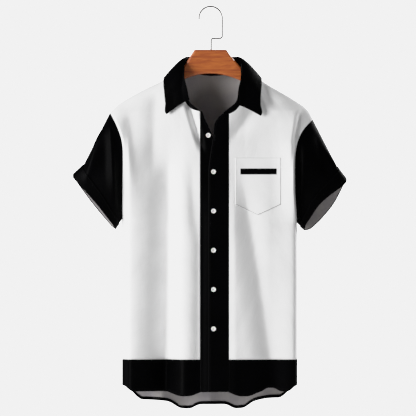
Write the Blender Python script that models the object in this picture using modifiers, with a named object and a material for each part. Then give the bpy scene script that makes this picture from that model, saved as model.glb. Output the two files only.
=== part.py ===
"""A short-sleeved button-up shirt in black and white blocks, hung on a wooden hanger.

The frame's origin is the inside top of the hanger's hook, where a rail carries it. The front
faces -Y, +X is the wearer's left and +Z is up. Every length is in metres. Each piece of cloth is
a wall built about rows of points on its middle surface, and left and right are the wearer's.
"""

import math
from collections import namedtuple

import bmesh
import bpy
import numpy as np
from mathutils import Vector
from mathutils.bvhtree import BVHTree

# Cloth: thickness of a wall, single or faced, and the gaps between pieces. The front on the
# wearer's right lies under the other by LAP at the buttons, and none of it where it ends.
CLOTH = 0.0014
FACED = 0.0020
SEAM = 0.0003
LAP = FACED + 0.0006
LAP_STARTS_X = -0.110
LAP_FULL_X = -0.026
LAP_FULL_DEPTH = 0.030

# Tables with keys -1 and 1 hold the wearer's right and left.

# The body's cross-section, from front to back.
DEPTH_FRONT = 0.062
DEPTH_BACK = 0.058
SHOULDER_NOSE = 0.012
ROUNDNESS = 3.2
ARMHOLE_FULLNESS = 0.8
BAND_FLAT = 0.014

# The neck: a level ring that the collar stands on, lower in front.
NECK_X = 0.005
NECK_HALF = 0.080
NECK_Z = -0.153
NECK_ARCH = 0.060
NECK_SQUARENESS = 4
FRONT_DROP = {-1: 0.109, 1: 0.118}
BACK_DROP = 0.018

# Seams of the colour blocks, and the hem.
BAND_SEAM = {-1: -0.026, 1: 0.046}
HEM_SEAM_Z = -0.881
HEM_SIDE_Z = -0.945
HEM_FRONT_DROP = 0.015
HEM_BACK_DROP = 0.040

# Rows of points, as shares of the way from the neck or shoulder down to the hem band.
ROWS = (0, 0.0015, 0.006, 0.016, 0.035, 0.07, 0.12, 0.18, 0.25, 0.32, 0.38, 0.43,
        0.49, 0.55, 0.61, 0.67, 0.73, 0.79, 0.86, 0.93, 1)
ARMPIT_ROW = 11
HEM_ROWS = (0, 0.5, 1)
FAN = 0.05
NECK_COLUMNS_FRONT = 10
NECK_COLUMNS_BACK = 6
SHOULDER_COLUMNS = 8
NECK_SHARE = 0.42
NECK_DELAY, SHOULDER_DELAY = 1, 1.5
BAND_COLUMNS = 2

SLEEVE_RINGS = (0, 0.12, 0.3, 0.55, 0.8, 1, 1.5, 2)
CUFF_FIRST_RING = 5
CUFF_PAST_HEM = 0.0012
CUFF_GAP = SEAM + 0.0002
SLEEVE_BULGE = 0.006
SLEEVE_GAP = 0.0008
ARMPIT_GAP = 0.0022

# The leaf starts at the notch, some columns in from the stand's front corner. SIDE_PLACE is the
# share of the way round at which the shoulder seam meets the neck.
NOTCH_COLUMN = 2
SIDE_PLACE = 0.61
ROLL_EARLY = 0.6
LEAF_ROWS = (0, 0.12, 0.35, 0.65, 1)
LEAF_ROLL = 0.008
LEAF_OVER_STAND = 0.0022
LEAF_CLEARANCE = 0.0042

Edge = namedtuple("Edge", "x z")
SHOULDER = {
    -1: (Edge(-0.075, -0.153), Edge(-0.120, -0.184), Edge(-0.1645, -0.206), Edge(-0.2015, -0.226),
         Edge(-0.2315, -0.245), Edge(-0.2515, -0.264)),
    1: (Edge(0.085, -0.153), Edge(0.138, -0.191), Edge(0.1895, -0.221), Edge(0.216, -0.2375),
        Edge(0.236, -0.252), Edge(0.2495, -0.268), Edge(0.2555, -0.281)),
}
SIDE = {
    -1: (Edge(-0.2515, -0.264), Edge(-0.234, -0.299), Edge(-0.223, -0.331), Edge(-0.219, -0.369),
         Edge(-0.221, -0.534), Edge(-0.221, -0.945)),
    1: (Edge(0.2555, -0.281), Edge(0.2385, -0.299), Edge(0.228, -0.313), Edge(0.217, -0.339),
        Edge(0.212, -0.364), Edge(0.2105, -0.441), Edge(0.2155, -0.534), Edge(0.217, -0.945)),
}
FREE_EDGE = {
    -1: (Edge(-0.021, -0.261), Edge(-0.014, -0.281), Edge(-0.002, -0.306), Edge(0.006, -0.326),
         Edge(0.015, -0.369), Edge(0.019, -0.411), Edge(0.019, -0.960)),
    1: (Edge(0.031, -0.266), Edge(0.021, -0.275), Edge(0.011, -0.289), Edge(0.006, -0.325),
        Edge(-0.001, -0.369), Edge(-0.00575, -0.411), Edge(-0.00575, -0.960)),
}

# Folds run from (x_top, z_top) to (x_low, z_low). A negative rise is a trough.
# It grows from nothing over FOLD_GROWS of its length, and is half gone at its foot.
FOLD_GROWS = 0.4
FOLD_EASES_FROM = 0.85
FOLD_EASES_OVER = 0.333
FOLD_SIDE_FADE = 1.6
Fold = namedtuple("Fold", "x_top z_top x_low z_low width rise")
FRONT_FOLDS = (
    Fold(-0.139, -0.350, -0.150, -0.900, 0.022, -0.013),
    Fold(-0.094, -0.260, -0.092, -0.930, 0.020, 0.006),
    Fold(-0.050, -0.400, -0.040, -0.930, 0.012, -0.008),
    Fold(-0.205, -0.290, -0.175, -0.450, 0.010, -0.005),
    Fold(-0.118, -0.220, -0.150, -0.380, 0.012, -0.006),
    Fold(0.073, -0.420, 0.140, -0.930, 0.018, -0.010),
    Fold(0.178, -0.560, 0.178, -0.940, 0.018, 0.005),
)
BACK_FOLDS = (
    Fold(-0.110, -0.300, -0.135, -0.960, 0.022, -0.012),
    Fold(-0.055, -0.420, -0.060, -0.960, 0.020, 0.006),
    Fold(0.000, -0.330, 0.005, -0.960, 0.018, -0.009),
    Fold(0.062, -0.450, 0.066, -0.960, 0.020, 0.006),
    Fold(0.120, -0.310, 0.145, -0.960, 0.022, -0.012),
)

# Where a hem dips as a fold comes forward, or rises between two.
Dip = namedtuple("Dip", "x width drop")
FRONT_DIPS = (Dip(-0.066, 0.024, 0.012), Dip(0.083, 0.028, 0.011), Dip(0.150, 0.012, -0.008))
BACK_DIPS = (Dip(-0.070, 0.022, 0.015), Dip(0.069, 0.028, 0.014))

# A sleeve's two lower sections: the outer and inner ends of each, seen from the front, half its
# depth from front to back, and how far the front edge is lifted and the back edge let down.
Section = namedtuple("Section", "outer_x outer_z inner_x inner_z half_depth tilt")
SLEEVE = {
    -1: (Section(-0.3225, -0.398, -0.230, -0.541, 0.036, 0.004),
         Section(-0.3430, -0.421, -0.238, -0.553, 0.032, 0.004)),
    1: (Section(0.3215, -0.403, 0.2255, -0.548, 0.036, 0.011),
        Section(0.3400, -0.431, 0.2345, -0.556, 0.032, 0.011)),
}

# The collar, from the front corner (along 0) to the middle of the back (along 1): the fold that
# tops the stand, and the leaf's outer edge. x is counted outwards from the middle of the neck.
Collar = namedtuple("Collar", "along fold_x fold_y fold_z edge_x edge_y edge_z")
COLLAR = (
    Collar(0.000, 0.033, -0.047, -0.259, 0.085, -0.046, -0.275),
    Collar(0.061, 0.050, -0.046, -0.246, 0.100, -0.045, -0.271),
    Collar(0.122, 0.066, -0.044, -0.236, 0.117, -0.043, -0.268),
    Collar(0.300, 0.070, -0.037, -0.206, 0.119, -0.038, -0.240),
    Collar(0.450, 0.071, -0.027, -0.170, 0.121, -0.032, -0.213),
    Collar(0.549, 0.070, -0.012, -0.144, 0.123, -0.014, -0.188),
    Collar(0.610, 0.068, 0.000, -0.131, 0.123, 0.000, -0.177),
    Collar(0.800, 0.050, 0.026, -0.126, 0.100, 0.034, -0.188),
    Collar(1.000, 0.000, 0.034, -0.125, 0.000, 0.047, -0.184),
)

# Pocket and its bar, on the left front: x of the sides, then z of the top, of the lower corners
# and of the point between them.
Patch = namedtuple("Patch", "left right top side point columns rows")
POCKET = Patch(0.0615, 0.1750, -0.377, -0.491, -0.517, 10, 11)
BAR = Patch(0.0745, 0.1645, -0.404, -0.417, -0.417, 8, 2)
BAR_THICKNESS = 0.0010
PATCH_GAP = SEAM + 0.0002

# Buttons: one on the open button band, and five done up below it.
BUTTON_RADIUS = 0.0057
BUTTON_THICKNESS = 0.0024
BUTTON_SINK = 0.0006
BUTTON_STEPS = 14
BUTTON_X = 0.0075
BUTTON_TOP_Z = -0.412
BUTTON_SPACING = 0.098
BUTTONS_DONE_UP = 5
OPEN_BUTTON = Edge(-0.0055, -0.321)
Turn = namedtuple("Turn", "out up")
BUTTON_PROFILE = (Turn(0, 0.62), Turn(0.60, 0.62), Turn(0.74, 1), Turn(0.92, 1), Turn(1, 0.62),
                  Turn(0.94, 0.12), Turn(0.80, 0), Turn(0, 0))

# Hanger.
WOOD_THICKNESS = 0.012
WOOD_BEVEL = 0.0040
WOOD_TOP_Z = -0.106
WOOD_TOP_HALF = 0.040
WOOD_FLANK = Edge(0.010, -0.015)
WOOD_NECK_IN, WOOD_NECK_DROP = 0.002, 0.004
ARM_END = (Edge(0, 0), Edge(0.004, -0.0084), Edge(0.001, -0.0204), Edge(-0.010, -0.024))
WOOD_ARCH_Z = -0.166
WOOD_ARCH_END = Edge(0.075, -0.184)
ARM_END_X = 0.205
ARM_CLEARANCE = CLOTH / 2 + 0.0008
WIRE_RADIUS = 0.0017
HOOK_RADIUS = 0.029
HOOK_TIP_DROP = 0.004
HOOK_JOG_Z = -0.078
STEM_DEPTH = 0.021
BORE_DEPTH = STEM_DEPTH + 0.002
STEM_X = 0.0012
HOOK_BEND = (Edge(0, 0.018), Edge(-0.0020, 0.007), Edge(-0.0045, 0.002), Edge(-0.010, 0))
STEM_BEND = (Edge(0.006, 0), Edge(0.0015, -0.002), Edge(0, -0.007))
ARC_POINTS = 16

SHARP_FROM = math.radians(40)
COLOURS = {
    "black poplin": ((0.012, 0.012, 0.014), 0.85, 0.0),
    "white poplin": ((0.78, 0.78, 0.78), 0.85, 0.0),
    "white button": ((0.85, 0.85, 0.83), 0.30, 0.0),
    "beech": ((0.42, 0.17, 0.06), 0.40, 0.0),
    "bright wire": ((0.62, 0.61, 0.59), 0.25, 1.0),
}


# ---------------------------------------------------------------- scene and materials

def clear_scene():
    for obj in list(bpy.data.objects):
        bpy.data.objects.remove(obj, do_unlink=True)


def new_collection(name):
    made = bpy.data.collections.new(name)
    bpy.context.scene.collection.children.link(made)
    return made


def material(name):
    made = bpy.data.materials.get(name)
    if made:
        return made
    colour, roughness, metallic = COLOURS[name]
    made = bpy.data.materials.new(name)
    made.use_nodes = True
    shader = made.node_tree.nodes["Principled BSDF"]
    shader.inputs["Base Color"].default_value = (*colour, 1)
    shader.inputs["Roughness"].default_value = roughness
    shader.inputs["Metallic"].default_value = metallic
    made.diffuse_color = (*colour, 1)
    return made


def add_object(name, mesh, finish, collection):
    obj = bpy.data.objects.new(name, mesh)
    mesh.materials.append(material(finish))
    if obj.type == "MESH":
        mesh.shade_smooth()
        mesh.set_sharp_from_angle(angle=SHARP_FROM)
    collection.objects.link(obj)
    return obj


# ---------------------------------------------------------------- outlines

def smooth(at, xs, ys):
    """A smooth curve through the points, read at one place, with no overshoot past its ends."""
    xs, ys = np.asarray(xs), np.asarray(ys)
    if xs[0] > xs[-1]:
        xs, ys = xs[::-1], ys[::-1]
    at = min(max(at, xs[0]), xs[-1])
    steps = np.diff(ys) / np.diff(xs)
    slopes = np.concatenate([steps[:1], (steps[1:] + steps[:-1]) / 2, steps[-1:]])
    level = np.concatenate([[False], steps[1:] * steps[:-1] <= 0, [False]])
    slopes[level] = 0
    i = min(int(np.searchsorted(xs, at, side="right")) - 1, len(xs) - 2)
    span = xs[i + 1] - xs[i]
    t = (at - xs[i]) / span
    return ((1 + 2 * t) * (1 - t) ** 2 * ys[i] + t * (1 - t) ** 2 * span * slopes[i]
            + t * t * (3 - 2 * t) * ys[i + 1] + t * t * (t - 1) * span * slopes[i + 1])


def ease(t):
    t = min(max(t, 0), 1)
    return t * t * (3 - 2 * t)


def even(points, count):
    """The points of a curve, moved to equal steps along it."""
    points = np.array(points)
    run = np.concatenate([[0], np.cumsum(np.linalg.norm(np.diff(points, axis=0), axis=1))])
    wanted = np.linspace(0, run[-1], count + 1)
    return [tuple(np.interp(w, run, points[:, k]) for k in range(points.shape[1])) for w in wanted]


def side_of(x):
    return -1 if x < NECK_X else 1


def side_x(side, z):
    """How far out the armhole, and below it the side seam, lies at a height."""
    rows = SIDE[side]
    return smooth(z, [row.z for row in rows], [row.x for row in rows])


def shoulder_z(x):
    """The top of the cloth's form: the shoulder line, and an arch over the open neck."""
    across = (x - NECK_X) / NECK_HALF
    if abs(across) < 1:
        return NECK_Z + NECK_ARCH * (1 - across ** 2)
    rows = SHOULDER[side_of(x)]
    return smooth(x, [row.x for row in rows], [row.z for row in rows])


def front_neck(side):
    """The front neckline, from the band's seam round to the shoulder, as (x, z)."""
    points = []
    start = abs(BAND_SEAM[side] - NECK_X) / NECK_HALF
    for across in 1 - (1 - start) * np.linspace(1, 0, 200) ** 3:
        drop = FRONT_DROP[side] * (1 - across ** NECK_SQUARENESS) ** (1 / NECK_SQUARENESS)
        points.append((NECK_X + side * NECK_HALF * across, NECK_Z - drop))
    return even(points, NECK_COLUMNS_FRONT)


def back_neck(side):
    """The back neckline, from the middle out to the shoulder, as (x, z)."""
    points = []
    for across in np.sin(np.linspace(0, math.pi / 2, NECK_COLUMNS_BACK + 1)):
        points.append((NECK_X + side * NECK_HALF * across, NECK_Z - BACK_DROP * (1 - across ** 2)))
    return points


def shoulder(side):
    """The shoulder seam, from the neck out to the sleeve, as (x, z)."""
    ends = SHOULDER[side][0].x, SHOULDER[side][-1].x
    return [(x, shoulder_z(x)) for x in np.linspace(*ends, SHOULDER_COLUMNS + 1)[1:]]


def hem_z(x, front):
    """The height of the hem's edge."""
    side = side_of(x)
    across = min(abs((x - NECK_X) / (side_x(side, HEM_SEAM_Z) - NECK_X)), 1)
    power, drop = (8, HEM_FRONT_DROP) if front else (6, HEM_BACK_DROP)
    z = HEM_SIDE_Z - drop * (1 - across ** power)
    for dip in FRONT_DIPS if front else BACK_DIPS:
        z -= dip.drop * math.exp(-((x - dip.x) / dip.width) ** 2) * (1 - across ** power)
    return z


# ---------------------------------------------------------------- the body's form

def fold_rise(x, z, front):
    total = 0
    for fold in FRONT_FOLDS if front else BACK_FOLDS:
        along = (fold.z_top - z) / (fold.z_top - fold.z_low)
        if along <= 0:
            continue
        middle = fold.x_top + (fold.x_low - fold.x_top) * along
        fade = ease(along / FOLD_GROWS) * (1 - ease((along - FOLD_EASES_FROM) / FOLD_EASES_OVER) / 2)
        total += fold.rise * fade * math.exp(-((x - middle) / fold.width) ** 2)
    return total


def form_depth(x, z, front, grown=0):
    """How far the cloth's form stands off the plane of the hanger, before its folds."""
    depth = (DEPTH_FRONT if front else DEPTH_BACK) + grown
    below = max(shoulder_z(x) + grown - z, 0)
    return depth * math.sqrt(1 - math.exp(-2 * (SHOULDER_NOSE + grown) * below / depth ** 2))


def body_point(x, z, front, side=None):
    """A point on the body's middle surface: the form, closed towards its sides, and its folds."""
    side = side or side_of(x)
    edge = side_x(side, z)
    across = min(abs((x - NECK_X) / (edge - NECK_X)), 1)
    top, low = SIDE[side][0].z, armpit_z(side)
    down = min(max((top - z) / (top - low), 0), 1)
    open_edge = (1 - down ** 2) ** ARMHOLE_FULLNESS
    inside = math.sqrt(1 - across ** ROUNDNESS)
    depth = form_depth(x, z, front) * (open_edge + (1 - open_edge) * inside)
    stiff = 1
    if front:
        out = (BAND_SEAM[side] - x) * -side
        stiff = ease(out / BAND_FLAT)
    depth += fold_rise(x, z, front) * stiff * ease(inside * FOLD_SIDE_FADE)
    if front and side < 0:
        under = ease((x - LAP_STARTS_X) / (LAP_FULL_X - LAP_STARTS_X))
        depth -= LAP * under * ease(depth / LAP_FULL_DEPTH)
    return Vector((x, -depth if front else depth, z))


def armpit_z(side):
    top = SIDE[side][0].z
    return top + (HEM_SEAM_Z - top) * ROWS[ARMPIT_ROW]


def low_shares(neck_columns):
    """Where the columns of points meet the hem band, as shares of the way out to the side."""
    shares = [NECK_SHARE * i / neck_columns for i in range(neck_columns + 1)]
    for i in range(1, SHOULDER_COLUMNS + 1):
        shares.append(1 - (1 - NECK_SHARE) * (1 - i / SHOULDER_COLUMNS) ** SHOULDER_DELAY)
    return shares


def half_panel(side, top, inner_x, front):
    """Rows of points for half of the body, from its inner edge out to the sleeve and side."""
    neck_columns = len(top) - 1 - SHOULDER_COLUMNS
    shares = low_shares(neck_columns)
    outer = top[-1][0]
    rows = []
    for v in ROWS:
        row = []
        for i, ((x_top, z_top), low) in enumerate(zip(top, shares)):
            high = (x_top - inner_x) / (outer - inner_x)
            delay = NECK_DELAY if i < neck_columns else SHOULDER_DELAY
            share = low + (high - low) * math.exp(-(v / FAN) ** delay)
            z = z_top + (HEM_SEAM_Z - z_top) * v
            x = inner_x + (side_x(side, z) - inner_x) * share
            row.append(body_point(x, z, front))
        rows.append(row)
    return rows


def half_hem(side, inner_x, neck_columns, front):
    shares = low_shares(neck_columns)
    rows = []
    for v in HEM_ROWS:
        row = []
        for share in shares:
            x_seam = inner_x + (side_x(side, HEM_SEAM_Z) - inner_x) * share
            z = HEM_SEAM_Z + (hem_z(x_seam, front) - HEM_SEAM_Z) * v
            x = inner_x + (side_x(side, z) - inner_x) * share
            row.append(body_point(x, z, front))
        rows.append(row)
    return rows


def mirror_join(right, left):
    """One set of rows from the right side seam to the left, out of two halves."""
    return [half[::-1] + other[1:] for half, other in zip(right, left)]


# ---------------------------------------------------------------- sheets of cloth

class Sheet:
    """A piece of cloth, as rows of points on its middle surface. A ring closes on itself."""

    def __init__(self, name, rows, thickness, finish, ring=False, turned=False, gap=SEAM / 2):
        self.name = name
        self.points = np.array([[tuple(p) for p in row] for row in rows])
        self.thickness = thickness
        self.finish = finish
        self.ring = ring
        along = np.gradient(self.points, axis=0)
        if ring:
            across = np.roll(self.points, -1, axis=1) - np.roll(self.points, 1, axis=1)
        else:
            across = np.gradient(self.points, axis=1)
        normals = np.cross(across, along)
        self.turned = turned
        self.gaps = np.full(normals.shape[1], gap)
        if turned:
            normals = -normals
        self.normals = normals / np.linalg.norm(normals, axis=2, keepdims=True)
        self.reach = np.full(normals.shape[:2], thickness / 2)

    def edge_places(self):
        """Each place on the rim, with the ways inward from it."""
        rows, columns = self.points.shape[:2]
        for i in range(rows):
            for j in range(columns):
                ways = []
                if i in (0, rows - 1):
                    ways.append((1 if i == 0 else -1, 0))
                if not self.ring and j in (0, columns - 1):
                    ways.append((0, 1 if j == 0 else -1))
                if ways:
                    yield i, j, ways


def sew(sheets):
    """Gives edges that meet one direction of thickness, so that their rims lie parallel."""
    meeting = {}
    for sheet in sheets:
        for i, j, _ in sheet.edge_places():
            key = tuple(np.round(sheet.points[i, j], 6) + 0.0)
            meeting.setdefault(key, []).append((sheet, i, j))
    for places in meeting.values():
        shared = sum(sheet.normals[i, j] for sheet, i, j in places)
        size = np.linalg.norm(shared)
        if len(places) < 2 or size < 0.2:
            continue
        for sheet, i, j in places:
            lean = max(float(np.dot(shared / size, sheet.normals[i, j])), 0.75)
            sheet.normals[i, j] = shared / size
            sheet.reach[i, j] /= lean


def wall(sheet, collection):
    """The sheet as a closed wall of its thickness, its edges drawn back from their seams.

    Each four-sided face creases on its shorter diagonal, so rims that meet crease alike.
    """
    points = sheet.points.copy()
    for i, j, ways in sheet.edge_places():
        for di, dj in ways:
            inward = sheet.points[i + di, j + dj] - sheet.points[i, j]
            points[i, j] += inward / np.linalg.norm(inward) * sheet.gaps[j]
    rows, columns = points.shape[:2]
    half = sheet.normals * sheet.reach[:, :, None]
    sewn = (sheet.points + half, sheet.points - half)
    body = bmesh.new()
    layers = (points + half, points - half)
    made = [[[body.verts.new(point) for point in row] for row in layer] for layer in layers]

    def face(*corners):
        spots = [sewn[layer][i, j] for layer, i, j in corners]
        if np.linalg.norm(spots[0] - spots[2]) > np.linalg.norm(spots[1] - spots[3]):
            corners = corners[1:] + corners[:1]
        if sheet.turned:
            corners = corners[:1] + corners[:0:-1]
        body.faces.new([made[layer][i][j] for layer, i, j in corners])

    last = columns if sheet.ring else columns - 1
    for j in range(last):
        k = (j + 1) % columns
        for i in range(rows - 1):
            face((0, i, j), (0, i, k), (0, i + 1, k), (0, i + 1, j))
            face((1, i, j), (1, i + 1, j), (1, i + 1, k), (1, i, k))
        face((0, 0, k), (0, 0, j), (1, 0, j), (1, 0, k))
        face((0, rows - 1, j), (0, rows - 1, k), (1, rows - 1, k), (1, rows - 1, j))
    if not sheet.ring:
        for i in range(rows - 1):
            face((0, i, 0), (0, i + 1, 0), (1, i + 1, 0), (1, i, 0))
            face((0, i + 1, last), (0, i, last), (1, i, last), (1, i + 1, last))
    mesh = bpy.data.meshes.new(sheet.name)
    body.to_mesh(mesh)
    body.free()
    return add_object(sheet.name, mesh, sheet.finish, collection)


# ---------------------------------------------------------------- pieces of the shirt

def front_sheets():
    sheets = []
    for side, word in ((-1, "right"), (1, "left")):
        top = front_neck(side) + shoulder(side)
        rows = half_panel(side, top, BAND_SEAM[side], True)
        hem = half_hem(side, BAND_SEAM[side], NECK_COLUMNS_FRONT, True)
        turned = side > 0
        sheets.append(Sheet(f"front_{word}", rows, CLOTH, "white poplin", turned=turned))
        sheets.append(Sheet(f"hem_front_{word}", hem, FACED, "black poplin", turned=turned))
    return sheets


def back_sheets():
    panels, hems = [], []
    for side in (-1, 1):
        top = back_neck(side) + shoulder(side)
        panels.append(half_panel(side, top, NECK_X, False))
        hems.append(half_hem(side, NECK_X, NECK_COLUMNS_BACK, False))
    return [Sheet("back", mirror_join(*panels), CLOTH, "white poplin"),
            Sheet("hem_back", mirror_join(*hems), FACED, "black poplin")]


def band_sheet(side, name):
    """A front band, from its seam to the free edge, which swings out to the open neck."""
    seam = BAND_SEAM[side]
    top = front_neck(side)[0][1]
    heights = [top + (HEM_SEAM_Z - top) * v for v in ROWS]
    low = hem_z(seam, True)
    heights += [HEM_SEAM_Z + (low - HEM_SEAM_Z) * v for v in HEM_ROWS[1:]]
    free = FREE_EDGE[side]
    rows = []
    for z in heights:
        edge = smooth(z, [row.z for row in free], [row.x for row in free])
        row = []
        for i in range(BAND_COLUMNS + 1):
            x = seam + (edge - seam) * i / BAND_COLUMNS
            row.append(body_point(x, z, True, side))
        rows.append(row)
    return Sheet(name, rows, FACED, "black poplin", turned=side < 0)


def armhole(side):
    """The armhole's points: down the front from the shoulder, and up the back."""
    loops = []
    for front in (True, False):
        line = []
        for v in ROWS[:ARMPIT_ROW + 1]:
            top = SIDE[side][0].z
            z = top + (HEM_SEAM_Z - top) * v
            line.append((v / ROWS[ARMPIT_ROW], body_point(side_x(side, z), z, front)))
        loops.append(line)
    front_line, back_line = loops
    return ([(down, point, -1) for down, point in front_line]
            + [(down, point, 1) for down, point in back_line[-2:0:-1]])


def section_point(section, down, turn):
    """A point on a sleeve's lower section, opposite an armhole point."""
    angle = math.acos(1 - 2 * down)
    outer = Vector((section.outer_x, 0, section.outer_z))
    inner = Vector((section.inner_x, 0, section.inner_z))
    lift = Vector((inner.z - outer.z, 0, outer.x - inner.x)).normalized()
    if lift.z < 0:
        lift = -lift
    middle = (outer + inner) / 2
    point = middle + (outer - middle) * math.cos(angle)
    point += lift * section.tilt * math.sin(angle) * -turn
    point.y = section.half_depth * math.sin(angle) * turn
    return point


def sleeve_rows(side):
    start, end = SLEEVE[side]
    loop = armhole(side)
    rows = []
    for t in SLEEVE_RINGS:
        row = []
        for down, point, turn in loop:
            first = section_point(start, down, turn)
            if t <= 1:
                at = point.lerp(first, t)
                roundness = math.sin(math.pi * t) * math.sin(math.acos(1 - 2 * down))
                at.y += SLEEVE_BULGE * roundness * turn
            else:
                at = first.lerp(section_point(end, down, turn), t - 1)
            row.append(at)
        rows.append(row)
    return rows


def sleeve_sheets(side, word):
    rows = sleeve_rows(side)
    turned = side < 0
    sleeve = Sheet(f"sleeve_{word}", rows, CLOTH, "black poplin", True, turned, SLEEVE_GAP)
    sleeve.gaps[ARMPIT_ROW - 1:ARMPIT_ROW + 2] = ARMPIT_GAP
    stand_off = CLOTH / 2 + CUFF_GAP + FACED / 2
    cuff = sleeve.points[CUFF_FIRST_RING:] + sleeve.normals[CUFF_FIRST_RING:] * stand_off
    ways = cuff[-1] - cuff[-2]
    cuff[-1] += ways / np.linalg.norm(ways, axis=1, keepdims=True) * CUFF_PAST_HEM
    return [sleeve, Sheet(f"cuff_{word}", cuff, FACED, "black poplin", True, turned)]


def collar_at(along, side):
    """The fold and the leaf's edge at one place round the neck."""
    places = [row.along for row in COLLAR]
    found = {}
    for key in Collar._fields[1:]:
        found[key] = smooth(along, places, [getattr(row, key) for row in COLLAR])
    fold = Vector((NECK_X + side * found["fold_x"], found["fold_y"], found["fold_z"]))
    edge = Vector((NECK_X + side * found["edge_x"], found["edge_y"], found["edge_z"]))
    return fold, edge


def clear_of_body(point, front):
    """Moves a point of the leaf out until it lies on the body, not in it."""
    least = form_depth(point.x, point.z, front, LEAF_CLEARANCE)
    if point.z < shoulder_z(point.x) + LEAF_CLEARANCE and abs(point.y) < least:
        point.y = -least if front else least
    return point


def collar_sheets():
    """The stand and the leaf, round the neck from the right front to the left front."""
    total = NECK_COLUMNS_FRONT + NECK_COLUMNS_BACK
    seam_line = []
    for side in (-1, 1):
        half = []
        for i, (x, z) in enumerate(front_neck(side)):
            half.append((SIDE_PLACE * i / NECK_COLUMNS_FRONT, body_point(x, z, True), side, True))
        for i, (x, z) in enumerate(back_neck(side)[-2::-1]):
            along = SIDE_PLACE + (1 - SIDE_PLACE) * (i + 1) / NECK_COLUMNS_BACK
            half.append((along, body_point(x, z, False), side, False))
        seam_line.append(half)
    line = seam_line[0] + seam_line[1][-2::-1]
    stand, leaf = [[], [], []], [[] for _ in LEAF_ROWS]
    for i, (along, base, side, front) in enumerate(line):
        fold, edge = collar_at(along, side)
        for k, row in enumerate(stand):
            row.append(base.lerp(fold, k / 2))
        if not NOTCH_COLUMN <= i <= 2 * total - NOTCH_COLUMN:
            continue
        outward = Vector((fold.x - NECK_X, fold.y, 0)).normalized()
        roll = (outward + Vector((0, 0, 1))).normalized()
        for t, row in zip(LEAF_ROWS, leaf):
            point = fold.lerp(edge, t) + roll * LEAF_ROLL * math.sin(math.pi * t ** ROLL_EARLY)
            point.z += LEAF_OVER_STAND * (1 - t)
            row.append(clear_of_body(point, front))
    return [Sheet("collar_stand", stand, FACED, "black poplin", turned=True),
            Sheet("collar_leaf", leaf, FACED, "black poplin", turned=True)]


# ---------------------------------------------------------------- what lies on a panel

def surface_of(obj):
    body = bmesh.new()
    body.from_mesh(obj.data)
    tree = BVHTree.FromBMesh(body)
    body.free()
    return tree


def on_surface(tree, x, z):
    """The front of a piece at a place, and the way out from it."""
    point, normal, _, _ = tree.ray_cast(Vector((x, -1, z)), Vector((0, 1, 0)))
    return point, normal


def patch(name, tree, shape, thickness, finish):
    """A piece that lies on another: rows of its points, moved out by its thickness."""
    grid = []
    for i in range(shape.rows + 1):
        row = []
        for j in range(shape.columns + 1):
            across = j / shape.columns
            x = shape.left + (shape.right - shape.left) * across
            low = shape.point + (shape.side - shape.point) * abs(2 * across - 1)
            z = shape.top + (low - shape.top) * i / shape.rows
            point, normal = on_surface(tree, x, z)
            row.append(point + normal * (PATCH_GAP + thickness / 2))
        grid.append(row)
    return Sheet(name, grid, thickness, finish, turned=True)


def button_mesh():
    """Half of a turned button blank, for the Screw: a dished face, a round rim and a flat back."""
    mesh = bpy.data.meshes.new("button")
    pairs = [(i, i + 1) for i in range(len(BUTTON_PROFILE) - 1)]
    points = [(BUTTON_RADIUS * point.out, 0, BUTTON_THICKNESS * point.up) for point in BUTTON_PROFILE]
    mesh.from_pydata(points, pairs, [])
    return mesh


def add_button(name, tree, x, z, collection):
    """A button, lying flat on the band with its face out."""
    obj = add_object(name, button_mesh(), "white button", collection)
    turn = obj.modifiers.new("turn", "SCREW")
    turn.axis = "Z"
    turn.steps = BUTTON_STEPS
    turn.render_steps = BUTTON_STEPS
    turn.use_merge_vertices = True
    turn.merge_threshold = 0.0001
    point, normal = on_surface(tree, x, z)
    obj.location = point + normal * BUTTON_SINK
    obj.rotation_mode = "QUATERNION"
    obj.rotation_quaternion = normal.to_track_quat("Z", "Y")
    return obj


# ---------------------------------------------------------------- hanger

def arm_top(side):
    """The arm's upper edge, just under the cloth, at the same places as the cloth's own points."""
    return [(x, z - ARM_CLEARANCE) for x, z in shoulder(side) if abs(x) < ARM_END_X]


def hanger_outline():
    """The wooden body seen from the front, counter-clockwise from the middle of its top."""
    halves = []
    for side in (-1, 1):
        neck = NECK_X + side * (NECK_HALF - WOOD_NECK_IN)
        line = [(side * WOOD_TOP_HALF, WOOD_TOP_Z),
                (side * (WOOD_TOP_HALF + WOOD_FLANK.x), WOOD_TOP_Z + WOOD_FLANK.z),
                (neck, NECK_Z - ARM_CLEARANCE - WOOD_NECK_DROP)]
        line += arm_top(side)
        end = Edge(side * ARM_END_X, shoulder_z(side * ARM_END_X) - ARM_CLEARANCE)
        line += [(end.x + side * step.x, end.z + step.z) for step in ARM_END]
        arch = (side * WOOD_ARCH_END.x, WOOD_ARCH_END.z)
        line += [tuple(np.array(line[-1]) + (np.array(arch) - line[-1]) * t) for t in (1 / 3, 2 / 3)]
        for t in np.linspace(1, 0.2, 5):
            line.append((arch[0] * t, WOOD_ARCH_Z + (arch[1] - WOOD_ARCH_Z) * t ** 2))
        halves.append(line)
    return halves[0] + [(0, WOOD_ARCH_Z)] + halves[1][::-1]


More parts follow.
